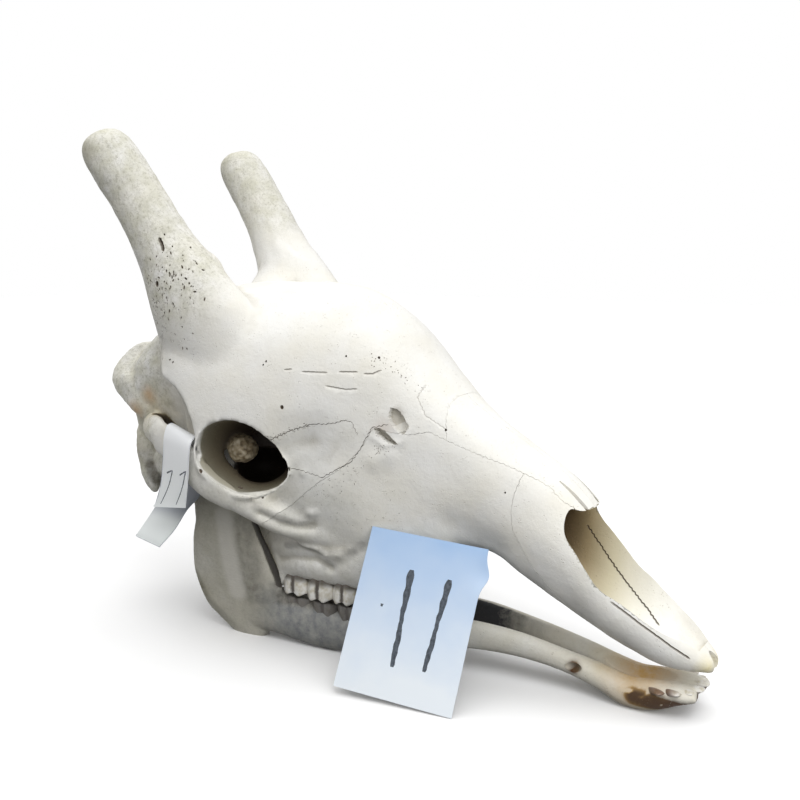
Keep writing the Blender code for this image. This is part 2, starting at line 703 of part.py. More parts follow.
def place(parts):
    """Centre the skull over the origin with its lowest point on the floor, and give each bone its surface."""
    corners = np.array([v.co for part in parts.values() for v in part.data.vertices])
    low, high = corners.min(0), corners.max(0)
    shift = Vector((-(low[0] + high[0]) / 2, -(low[1] + high[1]) / 2, -low[2]))
    home = bpy.data.collections.new("giraffe_skull")
    bpy.context.scene.collection.children.link(home)
    for name, obj in parts.items():
        obj.name = name
        obj.data.name = name
        obj.data.transform(Matrix.Scale(MM_TO_M, 4) @ Matrix.Translation(shift))
        colour, roughness = COLOURS[name.split("_")[0]]
        obj.data.materials.clear()
        obj.data.materials.append(material(name, colour, roughness))
        for group in list(obj.users_collection):
            group.objects.unlink(obj)
        home.objects.link(obj)
    print("moved by", shift, "size", high - low)


def main():
    for old in list(bpy.data.objects):
        bpy.data.objects.remove(old)
    chance = random.Random(SEED)
    parts = upper_bones(chance)
    parts["mandible_left"] = lower_jaw(chance)
    parts["mandible_right"] = flipped(lower_jaw(chance))
    parts["tag_card"] = card_tag()
    parts["tag_folded"] = folded_tag()
    place(parts)
    print("faces", {name: len(obj.data.polygons) for name, obj in parts.items()})


if __name__ == "__main__":
    main()
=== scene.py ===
# %% [markdown]
# # A giraffe skull, life size
#
# The real object is a cleaned and bleached giraffe skull. It lies on its lower jaws, with a stiff card
# leaning on its cheek and a paper strip folded over the arch behind its eye.
# The measured solids of every bone are loaded first. Each one is then replaced by a finer skin made
# from the same named sizes, so that pores, seams, holes and teeth can be added to it.

# %% Load the measured bones
import json
import math
import random

import bmesh
import bpy
import numpy as np
from mathutils import Euler, Matrix, Vector, noise
from mathutils.bvhtree import BVHTree

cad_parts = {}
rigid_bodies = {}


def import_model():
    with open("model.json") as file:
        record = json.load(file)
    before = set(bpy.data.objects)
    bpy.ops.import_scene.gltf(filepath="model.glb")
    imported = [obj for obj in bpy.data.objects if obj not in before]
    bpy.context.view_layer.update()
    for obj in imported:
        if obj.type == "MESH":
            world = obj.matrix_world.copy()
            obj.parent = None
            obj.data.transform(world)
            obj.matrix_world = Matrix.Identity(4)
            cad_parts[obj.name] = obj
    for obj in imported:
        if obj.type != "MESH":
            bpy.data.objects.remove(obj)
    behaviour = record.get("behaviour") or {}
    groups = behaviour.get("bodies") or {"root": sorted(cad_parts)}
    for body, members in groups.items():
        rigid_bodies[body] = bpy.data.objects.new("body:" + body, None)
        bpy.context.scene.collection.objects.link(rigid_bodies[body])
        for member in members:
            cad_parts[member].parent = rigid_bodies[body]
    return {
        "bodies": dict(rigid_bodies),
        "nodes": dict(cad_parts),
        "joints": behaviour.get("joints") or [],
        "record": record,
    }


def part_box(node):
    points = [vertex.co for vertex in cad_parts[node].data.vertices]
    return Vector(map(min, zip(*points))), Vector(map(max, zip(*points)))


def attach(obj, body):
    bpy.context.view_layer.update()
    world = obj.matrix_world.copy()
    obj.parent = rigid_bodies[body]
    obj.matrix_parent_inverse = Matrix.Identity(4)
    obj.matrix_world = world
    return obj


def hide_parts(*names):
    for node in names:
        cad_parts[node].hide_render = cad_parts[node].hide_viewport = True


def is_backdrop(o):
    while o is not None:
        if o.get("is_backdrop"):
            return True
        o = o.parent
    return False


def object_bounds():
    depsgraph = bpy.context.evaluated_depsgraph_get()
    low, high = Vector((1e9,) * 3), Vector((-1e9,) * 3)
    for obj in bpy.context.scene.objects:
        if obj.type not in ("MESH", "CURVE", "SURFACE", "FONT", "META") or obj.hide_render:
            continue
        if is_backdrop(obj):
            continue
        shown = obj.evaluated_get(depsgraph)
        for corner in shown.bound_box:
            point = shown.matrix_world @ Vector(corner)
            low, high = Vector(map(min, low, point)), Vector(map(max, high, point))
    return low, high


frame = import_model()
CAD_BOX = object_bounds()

print("nodes", sorted(frame["nodes"]))
print("box", CAD_BOX)

# %% [markdown]
# Bone is easier to read in millimetres. X runs across the skull, Y starts at the tip of the snout and
# grows to the rear, and Z is up from the floor. One last shift brings every piece into the shared frame.

# %% Sizes and the shared frame
MM = 0.001
SHIFT = Vector((2.0532, -315.9951, 0.0))
VOXEL = 2.0              # grid of the finished bone skins
SEAM = 0.36              # gap of an open seam between two bones
SMALLEST_PIECE = 60      # scraps with fewer points than this are dropped after a cut
FACE_LIMIT = 190000      # most triangles of one bone
SEED = 11
low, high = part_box("cranium")
print("middle of the cranium in mm", round((low.x + high.x) / 2 / MM, 2), "shift", tuple(SHIFT))

# %% [markdown]
# ## Tools for shapes
# A bone is a row of cross sections. A sphere has rings, so its rings can be laid on those sections one
# after the other: the body is closed from the start, and its two poles close the ends.

# %% Smooth curves through a few sizes
def flow(keys, at):
    """Smooth curve through (place, value) keys, read at one place or an array of them."""
    place = np.array([k[0] for k in keys], float)
    value = np.array([k[1] for k in keys], float)
    slope = np.gradient(value, place)
    at = np.clip(np.asarray(at, float), place[0], place[-1])
    i = np.clip(np.searchsorted(place, at, side="right") - 1, 0, len(place) - 2)
    h = place[i + 1] - place[i]
    t = (at - place[i]) / h
    a = value[i] * (2 * t**3 - 3 * t**2 + 1) + value[i + 1] * (3 * t**2 - 2 * t**3)
    return a + h * (slope[i] * (t**3 - 2 * t**2 + t) + slope[i + 1] * (t**3 - t**2))


# %% From a bmesh to an object
def linked(name, data):
    """New object in the scene."""
    obj = bpy.data.objects.new(name, data)
    bpy.context.scene.collection.objects.link(obj)
    return obj


def points_of(obj):
    return np.array([v.co for v in obj.data.vertices])


def normals_of(obj):
    return np.array([v.normal for v in obj.data.vertices])


def to_object(name, bm):
    """Closed mesh object from a bmesh, with its faces turned outward."""
    bmesh.ops.recalc_face_normals(bm, faces=bm.faces)
    if bm.calc_volume(signed=True) < 0:
        bmesh.ops.reverse_faces(bm, faces=bm.faces)
    mesh = bpy.data.meshes.new(name)
    bm.to_mesh(mesh)
    bm.free()
    return linked(name, mesh)


def wrapped_sphere(name, around, along, place):
    """A sphere whose rings are laid on sections: place(shares, angles) gives the points."""
    bm = bmesh.new()
    bmesh.ops.create_uvsphere(bm, u_segments=around, v_segments=along, radius=1)
    co = np.array([v.co for v in bm.verts])
    ring = np.arccos(np.clip(co[:, 2], -1, 1)) / math.pi * along
    points = place((ring - 1) / (along - 2), np.arctan2(co[:, 1], co[:, 0]))
    for v, p in zip(bm.verts, points):
        v.co = p
    return to_object(name, bm)


# %% Bodies from cross sections
def section_loft(name, rows, around=128, along=180):
    """Closed body through mirrored cross sections set across Y."""
    columns = [[(row[0], row[c]) for row in rows] for c in range(1, 9)]

    def place(share, angle):
        y = rows[0][0] + (rows[-1][0] - rows[0][0]) * np.clip(share, 0, 1)
        top, sx, sz, mx, mz, lx, lz, low = (flow(c, y) for c in columns)
        flat = np.zeros_like(y)
        ring = np.array([(flat, top), (sx, sz), (mx, mz), (lx, lz),
                         (flat, low), (-lx, lz), (-mx, mz), (-sx, sz)])
        u = (angle / (2 * math.pi)) % 1.0 * 8
        k = u.astype(int) % 8
        t = u - u.astype(int)
        every = np.arange(len(y))
        p = [ring[(k + d) % 8, :, every].T for d in (-1, 0, 1, 2)]
        x, z = 0.5 * (2 * p[1] + (p[2] - p[0]) * t + (2 * p[0] - 5 * p[1] + 4 * p[2] - p[3]) * t**2
                      + (3 * p[1] - p[0] - 3 * p[2] + p[3]) * t**3)
        ends = (share < 0) | (share > 1)
        return np.stack([np.where(ends, 0, x), y, np.where(ends, (top + low) / 2, z)], 1)

    return wrapped_sphere(name, around, along, place)


def sweep(name, rows, around=40, along=70, power=2.0, axis=(1, 0, 0)):
    """Closed bar along a smooth line: x, y, z, half size along axis and half size square to it."""
    points = np.array(rows, float)
    run = np.concatenate([[0], np.cumsum(np.linalg.norm(np.diff(points[:, :3], axis=0), axis=1))])
    keys = [list(zip(run, points[:, c])) for c in range(5)]

    def centre(s):
        return np.stack([flow(keys[c], s) for c in range(3)], 1)

    def place(share, angle):
        s = run[-1] * np.clip(share, 0, 1)
        here = centre(s)
        ahead = centre(np.minimum(s + 1, run[-1])) - centre(np.maximum(s - 1, 0))
        ahead /= np.linalg.norm(ahead, axis=1)[:, None]
        side = np.array(axis, float) - ahead * (ahead @ np.array(axis, float))[:, None]
        side /= np.linalg.norm(side, axis=1)[:, None]
        rise = np.cross(side, ahead)
        c, d = np.cos(angle), np.sin(angle)
        across = np.copysign(np.abs(c) ** (2 / power), c) * flow(keys[3], s)
        upright = np.copysign(np.abs(d) ** (2 / power), d) * flow(keys[4], s)
        inside = ((share >= 0) & (share <= 1))[:, None]
        return here + np.where(inside, side * across[:, None] + rise * upright[:, None], 0)

    return wrapped_sphere(name, around, along, place)


def ellipsoid(name, centre, radii, turn=(0, 0, 0)):
    """Closed body with three half sizes, turned about X, Y and Z."""
    bm = bmesh.new()
    bmesh.ops.create_uvsphere(bm, u_segments=48, v_segments=32, radius=1)
    turned = Euler(turn).to_matrix().to_4x4()
    matrix = Matrix.Translation(centre) @ turned @ Matrix.Diagonal((*radii, 1))
    bmesh.ops.transform(bm, matrix=matrix, verts=bm.verts)
    return to_object(name, bm)


def block(name, low, high):
    """Plain box between two corners."""
    bm = bmesh.new()
    bmesh.ops.create_cube(bm, size=1)
    size = Vector(high) - Vector(low)
    middle = (Vector(high) + Vector(low)) / 2
    bmesh.ops.transform(bm, matrix=Matrix.Translation(middle) @ Matrix.Diagonal((*size, 1)), verts=bm.verts)
    return to_object(name, bm)


# %% Copies, joins and cuts
def mirrored(obj):
    """Copy of an object on the other side of the middle plane."""
    bm = bmesh.new()
    bm.from_mesh(obj.data)
    bmesh.ops.scale(bm, vec=(-1, 1, 1), verts=bm.verts)
    return to_object(obj.name + "_other", bm)


def both(obj):
    return [obj, mirrored(obj)]


def mirrored_only(obj):
    """The mirror image alone."""
    other = mirrored(obj)
    bpy.data.objects.remove(obj)
    return other


def joined(name, pieces):
    """One object that holds all pieces as they are."""
    bm = bmesh.new()
    for piece in pieces:
        bm.from_mesh(piece.data)
        bpy.data.objects.remove(piece)
    mesh = bpy.data.meshes.new(name)
    bm.to_mesh(mesh)
    bm.free()
    return linked(name, mesh)


def apply(obj, kind, **settings):
    """Add one modifier, set it and apply it."""
    modifier = obj.modifiers.new(kind.title(), kind)
    for key, value in settings.items():
        setattr(modifier, key, value)
    shape = bpy.data.meshes.new_from_object(obj.evaluated_get(bpy.context.evaluated_depsgraph_get()))
    obj.modifiers.remove(modifier)
    obj.data = shape
    return obj


def melted(obj, rounds, voxel=VOXEL):
    """Fuse overlapping masses into one closed skin and soften it."""
    apply(obj, "REMESH", mode="VOXEL", voxel_size=voxel)
    return apply(obj, "SMOOTH", factor=0.5, iterations=rounds)


def boolean(obj, others):
    """Cuts closed meshes out of an object, then removes them."""
    group = bpy.data.collections.new("operands")
    for other in others:
        group.objects.link(other)
    apply(obj, "BOOLEAN", operation="DIFFERENCE", operand_type="COLLECTION", collection=group,
          solver="MANIFOLD")
    for other in others:
        bpy.data.objects.remove(other)
    bpy.data.collections.remove(group)
    return obj


# %% Telling the cut pieces apart
def islands(obj, count=99):
    """Split a mesh into its separate closed surfaces, the largest first, and drop the rest."""
    mesh = obj.data
    edges = np.zeros(len(mesh.edges) * 2, int)
    mesh.edges.foreach_get("vertices", edges)
    edges = edges.reshape(-1, 2)
    label = np.arange(len(mesh.vertices))
    while True:
        lowest = np.minimum(label[edges[:, 0]], label[edges[:, 1]])
        before = label.copy()
        np.minimum.at(label, edges[:, 0], lowest)
        np.minimum.at(label, edges[:, 1], lowest)
        label = label[label]
        if (label == before).all():
            break
    names, sizes = np.unique(label, return_counts=True)
    result = []
    for key in names[np.argsort(-sizes)][:count]:
        if (label == key).sum() < SMALLEST_PIECE:
            continue
        bm = bmesh.new()
        bm.from_mesh(mesh)
        gone = [v for v in bm.verts if label[v.index] != key]
        bmesh.ops.delete(bm, geom=gone, context="VERTS")
        piece = bpy.data.meshes.new(obj.name)
        bm.to_mesh(piece)
        bm.free()
        for m in mesh.materials:
            piece.materials.append(m)
        result.append(linked(obj.name, piece))
    bpy.data.objects.remove(obj)
    return result


def centre_of(obj):
    co = np.zeros(len(obj.data.vertices) * 3)
    obj.data.vertices.foreach_get("co", co)
    return Vector(co.reshape(-1, 3).mean(0))


def nearest(pieces, middle):
    """Takes from a list the piece whose centre is closest to a point."""
    best = min(pieces, key=lambda p: (centre_of(p) - Vector(middle)).length)
    pieces.remove(best)
    return best

# %% [markdown]
# ## Sizes of the skull
#
# These rows hold the shape. Each row of FACE is one cross section: its place along the skull, then the
# height of the roof, three points down the side and the height of the underside.
# The bars, such as the cheek arch, are rows of centre points with two half thicknesses.

# %% Cross sections of the face and the braincase
# y, top, shoulder x z, side x z, low x z, bottom
FACE = (
    (2, 48, 8, 47, 12, 43, 8, 39, 38),
    (16, 60, 16, 59, 21, 50, 16, 41, 39.5),
    (40, 84, 26, 79, 32, 61, 22, 43, 41),
    (70, 110, 34, 100, 41, 76, 27, 54, 51),
    (98, 146, 37, 130, 46, 98, 31, 68, 65),
    (125, 176, 28, 166, 45, 128, 33, 83, 78),
    (160, 201, 31, 188, 45, 147, 34, 101, 97),
    (195, 222, 35, 206, 47, 165, 35, 119, 115),
    (230, 244, 40, 229, 52, 182, 42, 122, 120),
    (260, 272, 47, 253, 61, 196, 50, 112, 112),
    (300, 315, 58, 286, 74, 208, 64, 110, 108),
    (340, 340, 70, 300, 91, 212, 71, 114, 108),
    (380, 347, 82, 304, 107, 212, 80, 131, 112),
    (420, 347, 90, 304, 117, 208, 82, 142, 122),
    (460, 347, 96, 304, 120, 206, 78, 158, 134),
    (495, 343, 96, 306, 113, 232, 62, 170, 142),
    (522, 332, 86, 302, 98, 248, 50, 184, 150),
)
BRAINCASE = (
    (430, 300, 44, 280, 55, 225, 40, 165, 150),
    (480, 338, 50, 316, 62, 250, 44, 178, 150),
    (530, 332, 54, 309, 66, 246, 46, 176, 150),
    (570, 308, 56, 286, 68, 236, 44, 170, 152),
    (600, 283, 52, 262, 62, 222, 40, 166, 152),
    (614, 256, 36, 242, 42, 214, 30, 176, 160),
)

# %% Horns, arches and ridges
# centre x y z, half thickness across, half thickness square to it
OSSICONE = (
    (74, 436, 258, 30, 44),
    (79, 470, 296, 35, 54),
    (84, 497, 342, 34, 42),
    (87, 517, 376, 29.5, 31),
    (89.5, 534, 404, 27, 27.5),
    (91.5, 552, 431, 26, 26.5),
    (94, 574, 460, 26, 26),
    (95.2, 586, 475, 24.5, 24.5),
    (96.2, 592.5, 485, 19, 19),
    (96.6, 595.5, 490, 10, 10),
)
OSSICONE_CUT_STATION = 2
SADDLE = ((78, 498, 356, 36, 30), (62, 500, 347, 32, 20), (46, 501, 341, 26, 11), (30, 501, 337, 18, 7))
LEFT_HORN_DROP = (0, -6, -6.5)      # the left horn is a little shorter and slimmer at its tip
LEFT_HORN_SLIMNESS = 0.93
ORBIT_CENTRE = (113, 406, 193)
ORBIT_TURN = math.radians(12)
ORBIT_TILT = math.radians(18)
ORBIT_DEPTH = 62
JAW_SPACE = (
    (78, 476, 104, 15, 56),
    (78, 478, 150, 15, 54),
    (79, 483, 178, 12, 37),
    (79, 487, 212, 9, 24),
    (79, 488, 226, 6, 14),
)
TEMPORAL_FOSSA_CENTRE = (128, 522, 203)
TEMPORAL_FOSSA_RADII = (60, 64, 62)
ARCH = (
    (112, 420, 150, 7, 11),
    (118, 445, 164, 5.5, 15),
    (113, 470, 177, 4.5, 17),
    (98, 508, 188, 5, 17),
    (87, 538, 196, 7, 16),
    (66, 566, 200, 12, 14),
)
JUGAL = (
    (113, 456, 168, 5, 12),
    (111, 428, 155, 8, 13),
    (101, 402, 142, 11, 13),
    (88, 378, 131, 12, 15),
    (74, 350, 123, 9, 14),
    (64, 318, 122, 6, 10),
    (56, 290, 126, 3, 5),
)
CREST = (
    (58, 566, 198, 6, 10),
    (65, 594, 228, 5, 13),
    (64, 613, 246, 4.5, 14),
    (49, 612, 263, 4.5, 13),
    (24, 603, 273, 5, 12),
    (0, 600, 279, 5, 12),
)
PTERYGOID = ((19, 424, 122, 4, 18), (21, 446, 120, 3.5, 21), (22, 474, 136, 4, 14))
SKULL_BASE = ((0, 424, 152, 18, 16), (0, 520, 158, 20, 14), (0, 606, 158, 20, 12))
REAR_LUMPS = (
    ("condyle", (21, 614, 166), (14, 15, 19), 0),
    ("paroccipital", (50, 592, 160), (9, 13, 38), -14),
    ("bulla", (44, 566, 158), (15, 20, 18), 0),
)
ALVEOLAR = (
    (38, 232, 122, 6, 10),
    (44, 250, 108, 9, 24),
    (50, 272, 99, 12, 30),
    (56, 310, 97, 13, 30),
    (60, 350, 98, 13.5, 31),
    (61, 390, 98, 13, 32),
    (59, 403, 97, 11, 37),
    (57, 414, 98, 10.5, 38),
    (55, 438, 108, 9.5, 27),
)

# %% Nose opening, windows and slits
NOSE = (
    (14, 120, 20, 85, 12, 58, 7, 50, 49),
    (40, 140, 34, 104, 30, 75, 16, 57, 53),
    (70, 165, 45, 134, 41, 99, 22, 70, 63),
    (93, 190, 52, 164, 48, 121, 30, 82, 73),
    (103, 167, 46, 158, 47, 133, 30, 88, 78),
    (114, 162, 38, 160, 44, 146, 28, 94, 84),
    (130, 172, 24, 166, 36, 139, 26, 101, 93),
    (170, 188, 24, 178, 33, 150, 24, 120, 116),
    (205, 194, 14, 186, 18, 168, 14, 150, 146),
)
FISSURE = ((6.5, 86, 72, 1.1, 30), (6.5, 66, 62, 1.3, 30), (5.5, 50, 56, 1.1, 30))
TIP_NOTCH = ((0, -4, 46), (7, 19, 16))
NASAL_NOTCH = ((13, 104, 168, 2.6, 14), (14.5, 122, 174, 2.2, 14), (15.5, 139, 184, 0.8, 12))
NOSE_GROOVE = (
    (0, 52, 56.5, 0.8, 4),
    (0, 74, 65, 1.3, 5),
    (0, 98, 75.5, 1.8, 6),
    (0, 135, 96, 1.8, 6),
    (0, 168, 115, 1.4, 5),
)
FRONT_WINDOW = (
    (67, 279, 243), (64, 273, 241), (62, 268, 236), (61, 262, 226), (62, 265, 220), (64, 269, 219),
    (66, 276, 226), (68, 280, 234),
)
REAR_WINDOW = (
    (71, 292, 224), (69, 287, 224), (68, 282, 222), (65, 274, 214), (64, 270, 210), (66, 276, 210),
    (68, 284, 214), (70, 290, 219),
)

# %% Seams seen from the side
SEAM_PREMAXILLA = (
    (165, 191.1), (169, 175), (170, 161), (168, 144), (160, 129), (151, 114), (137, 98), (118, 80), (104, 40),
)
SEAM_NASAL = (
    (96, 150), (118, 163), (131, 171), (142, 180), (153, 186), (178, 196), (200, 203), (231, 215), (238, 244),
    (232, 290),
)
SEAM_MAXILLA = (
    (229, 214.4), (246, 222), (262, 219), (293, 222), (303, 204), (318, 188), (340, 172), (366, 150),
    (392, 130), (412, 114), (426, 98), (434, 40),
)

# %% [markdown]
# ## The skin of the upper skull
#
# The masses overlap, so a voxel remesh fuses them into one closed skin, and smoothing lets them flow
# into each other as bone does. The eye sockets and the hollows for the jaw muscles are cut out first,
# and the thin arches and rims are added after that, so that they stay sharp.

# %% Hollow and rim of the eye socket
# direction in degrees, seen from the left side with 0 to the rear, and distance of the rim from its middle
ORBIT_OUTLINE = (
    (-167, 43.3), (-147, 38.6), (-123, 35.6), (-98, 34.9), (-71, 36.3), (-49, 41), (-35, 46.3), (-22, 48.6),
    (-4, 48.5), (14, 46), (33, 39.5), (64, 31.5), (99, 28.6), (137, 30.6), (155, 35.4), (168, 42.5),
    (180, 45.6),
)
# direction, thickness of the rim there and how far it stands out
RIM = (
    (-180, 1.8, -1), (-140, 2.2, 0), (-90, 2.8, 0.8), (-40, 2.6, 0.6), (-10, 1.8, -1), (60, 1.4, -4),
    (110, 1.4, -4), (160, 1.4, -2), (180, 1.8, -1),
)
SOCKET_TURN = Matrix.Rotation(-ORBIT_TURN, 3, "Z") @ Matrix.Rotation(ORBIT_TILT, 3, "X")


def rim_frame(point):
    """Turns a point of the eye socket's own frame (out, rearward, up) to its place in the skull."""
    return Vector(ORBIT_CENTRE) + SOCKET_TURN @ Vector(point)


def rim_reach(angle):
    """Distance of the rim from the middle of the socket in a direction given in radians."""
    keys = [(a + 360 * k, r) for k in (-1, 0, 1) for a, r in ORBIT_OUTLINE]
    return flow(sorted(keys), np.degrees(angle))


def orbit_hollow(name, depth=ORBIT_DEPTH):
    """Bowl of the eye socket, with straight sides where it leaves the bone."""
    bm = bmesh.new()
    bmesh.ops.create_uvsphere(bm, u_segments=96, v_segments=64, radius=1)
    co = np.array([v.co for v in bm.verts])
    away = np.hypot(co[:, 1], co[:, 2])
    angle = np.arctan2(co[:, 2], co[:, 1])
    reach = rim_reach(angle) * np.where(co[:, 0] > 0, away ** 0.1, away ** 0.85)
    out = np.where(co[:, 0] > 0, co[:, 0] * 40, co[:, 0] * depth)
    for v, o, r, a in zip(bm.verts, out, reach, angle):
        v.co = rim_frame((o, r * math.cos(a), r * math.sin(a)))
    return to_object(name, bm)


def orbit_rim(name):
    """Rim of the socket: a small round section spun into a ring, then laid on the outline."""
    bm = bmesh.new()
    section = bmesh.ops.create_circle(bm, segments=14, radius=0.1)["verts"]
    bmesh.ops.rotate(bm, matrix=Matrix.Rotation(math.radians(90), 3, "X"), verts=section)
    bmesh.ops.translate(bm, vec=(1, 0, 0), verts=section)
    bmesh.ops.spin(bm, geom=bm.verts[:] + bm.edges[:], cent=(0, 0, 0), axis=(0, 0, 1), angle=math.tau,
                   steps=120, use_merge=True)
    for v in bm.verts:
        angle = math.atan2(v.co.y, v.co.x)
        thick = float(flow([(a, t) for a, t, o in RIM], math.degrees(angle)))
        stands = float(flow([(a, o) for a, t, o in RIM], math.degrees(angle)))
        away = (math.hypot(v.co.x, v.co.y) - 1) / 0.1 * thick
        reach = float(rim_reach(angle)) + 0.9 * thick + away
        v.co = rim_frame((v.co.z / 0.1 * thick + stands, reach * math.cos(angle), reach * math.sin(angle)))
    return to_object(name, bm)


# %% Fuse the masses
def left_horn():
    """Rows of the left horn: equal to the right one at its base, then bit by bit shorter."""
    first = OSSICONE_CUT_STATION + 1
    rows = []
    for k, (x, y, z, wide, deep) in enumerate(OSSICONE):
        share = max(0, k - first) / (len(OSSICONE) - 1 - first)
        slim = 1 - (1 - LEFT_HORN_SLIMNESS) * share
        down = [share * drop for drop in LEFT_HORN_DROP]
        rows.append((x + down[0], y + down[1], z + down[2], wide * slim, deep * slim))
    return rows


EDGE_DEPTH = 9           # the socket is cut again this deep, so that its edge stays crisp
TUBER = ((60, 409, 69), (9, 13, 14))       # end of the upper jaw behind the last molar
KNOB_CENTRE = (78, 436, 191)
KNOB_RADII = (16, 13.5, 13.5)
# deep hole of the socket, which runs inward and rearward
DEEP_CENTRE = (58, 427, 171)
DEEP_RADII = (38, 26, 19)
DEEP_TURN = Vector((-0.739, 0.645, -0.197)).to_track_quat("X", "Z")


def upper_skull():
    """Upper skull as one skin, before its bones are parted."""
    masses = [section_loft("face", FACE), section_loft("braincase", BRAINCASE)]
    masses += [sweep("skull_base", SKULL_BASE)]
    masses += [mirrored_only(sweep("horn", OSSICONE, 72, 120)), sweep("horn", left_horn(), 72, 120)]
    masses += both(sweep("saddle", SADDLE, 32, 50, axis=(0, 1, 0)))
    for name, rows in (("alveolar", ALVEOLAR), ("jugal", JUGAL)):
        masses += both(sweep(name, rows, 72, 120))
    core = apply(joined("skull", masses), "REMESH", mode="VOXEL", voxel_size=VOXEL * 1.3)
    apply(core, "SMOOTH", factor=0.5, iterations=22)
    boolean(core, both(orbit_hollow("orbit")))
    boolean(core, both(ellipsoid("fossa", TEMPORAL_FOSSA_CENTRE, TEMPORAL_FOSSA_RADII)))
    boolean(core, both(sweep("jaw_space", JAW_SPACE)))
    boolean(core, both(ellipsoid("deep", DEEP_CENTRE, DEEP_RADII, DEEP_TURN.to_euler())))
    masses = [core] + both(orbit_rim("rim")) + both(ellipsoid("knob", KNOB_CENTRE, KNOB_RADII))
    masses += both(ellipsoid("tuber", *TUBER))
    for name, rows in (("arch", ARCH), ("crest", CREST), ("pterygoid", PTERYGOID)):
        masses += both(sweep(name, rows))
    for name, centre, radii, lean in REAR_LUMPS:
        masses += both(ellipsoid(name, centre, radii, (math.radians(lean), 0, 0)))
    skull = melted(joined("skull", masses), 6)
    shell = both(orbit_hollow("edge", EDGE_DEPTH))
    return boolean(skull, shell)


skull = upper_skull()
print("skin of the upper skull", len(skull.data.polygons), "faces")

# %% [markdown]
# Ridges and dents come next. Each is a line of points with a height and a width, and every point of the
# skin near it moves along its own normal. Noise then gives the lumps of the brain case and the long
# fibres of the horns. Moving the points of the skin keeps it closed.

# %% Ridges and dents
# height in mm (dents are negative), width in mm, points on the right side
RELIEF = (
    (3.0, 4.4, ((-114, 392, 151), (-107, 383, 148), (-102, 373, 143), (-98, 362, 139), (-91, 353, 140),
                (-83, 348, 144))),
    (-3.8, 4.6, ((-108, 392, 139), (-100, 376, 131), (-93, 360, 127), (-85, 350, 129))),
    (3.6, 3.8, ((-72, 409, 97), (-78, 388, 105), (-80, 372, 110), (-75, 355, 108), (-73, 342, 101),
                (-71, 329, 103))),
    (-3.0, 4.5, ((-72, 400, 86), (-74, 380, 92), (-74, 355, 94), (-72, 340, 88))),
    (1.2, 5.0, ((-94, 359, 121),)),
    (-4.5, 22.0, ((-92, 340, 203), (-86, 330, 200))),
    (-1.8, 12.0, ((-98, 372, 222), (-88, 340, 224))),
    (2.2, 9.0, ((-71, 290, 195), (-68, 280, 200))),
    (-2.2, 9.0, ((-108, 380, 200), (-100, 362, 205), (-92, 345, 210))),
    (1.5, 3.5, ((-108, 356, 190), (-100, 353, 184), (-92, 352, 179))),
    (1.2, 2.5, ((-62, 262, 224), (-63, 267, 212), (-68, 282, 209), (-73, 293, 216))),
    (-2.5, 14.0, ((-49, 226, 140), (-44, 209, 134), (-41, 185, 124))),
    (1.4, 5.0, ((-112, 517, 331), (-112, 515, 294), (-112, 507, 265), (-114, 485, 246), (-116, 466, 231))),
    (-1.2, 3.0, ((-80, 398, 150), (-66, 380, 140))),
)


def away_from(co, line):
    """Shortest distance of every point to a line of points on one side, or to its mirror image."""
    line = np.abs(np.array(line, float))
    co = co.copy()
    co[:, 0] = np.abs(co[:, 0])
    if len(line) == 1:
        return np.linalg.norm(co - line[0], axis=1)
    best = np.full(len(co), 1e9)
    for a, b in zip(line, line[1:]):
        t = np.clip(((co - a) @ (b - a)) / ((b - a) @ (b - a)), 0, 1)
        best = np.minimum(best, np.linalg.norm(co - a - t[:, None] * (b - a), axis=1))
    return best


def soft(value, low, high):
    """0 below low and 1 above high, with a smooth rise between."""
    t = np.clip((value - low) / (high - low), 0, 1)
    return t * t * (3 - 2 * t)


def noise_at(co, size, seed=0.0, stretch=(1, 1, 1)):
    """Smooth noise from -1 to 1 whose lumps are about size wide."""
    scaled = co / (np.array(stretch) * size) + seed
    return np.array([noise.noise(Vector(p)) for p in scaled])


def lumps(co, layers):
    """Sum of noise layers, each with its height and size in mm, a seed and a stretch."""
    return sum(height * noise_at(co, size, seed, stretch) for height, size, seed, stretch in layers)


EVEN = (1, 1, 1)
FIBRES = (1, 2, 7)
SKIN_LUMPS = ((0.45, 26, 0.0, EVEN), (0.16, 7, 5.0, EVEN))
KNOB_LUMPS = ((1.6, 5.5, 4.0, EVEN),)
REAR_SKIN_LUMPS = ((1.3, 15, 9.0, EVEN), (0.55, 5, 2.0, EVEN))
HORN_LUMPS = ((0.5, 4.0, 3.0, FIBRES), (0.45, 12, 1.0, EVEN))


def roughened(obj):
    """Pushes every point of the skin along its normal by the ridges, dents and noise."""
    co = points_of(obj)
    push = np.zeros(len(co))
    for height, width, line in RELIEF:
        push += height * np.exp(-(away_from(co, line) / width) ** 2)
    horn_axis = np.array(OSSICONE)[2:, :3]
    on_horn = soft(-away_from(co, horn_axis), -48, -30) * soft(co[:, 2], 300, 350)
    behind = soft(co[:, 1], 520, 545) * (1 - soft(co[:, 2], 300, 330))
    push += lumps(co, SKIN_LUMPS)
    on_knob = 1 - soft(away_from(co, (KNOB_CENTRE,)), 13, 19)
    push += on_knob * (lumps(co, KNOB_LUMPS) - 0.9 * np.abs(noise_at(co, 3.2, 8.0)))
    push += behind * lumps(co, REAR_SKIN_LUMPS)
    push += on_horn * lumps(co, HORN_LUMPS)
    co += normals_of(obj) * push[:, None]
    obj.data.vertices.foreach_set("co", co.ravel())
    obj.data.update()


roughened(skull)
print("relief lines", len(RELIEF))

# %% Cut the nose and the windows
def skin_of(obj):
    """Search tree over the faces of an object, used to lay lines and holes on it."""
    co = [v.co.copy() for v in obj.data.vertices]
    return BVHTree.FromPolygons(co, [tuple(p.vertices) for p in obj.data.polygons])


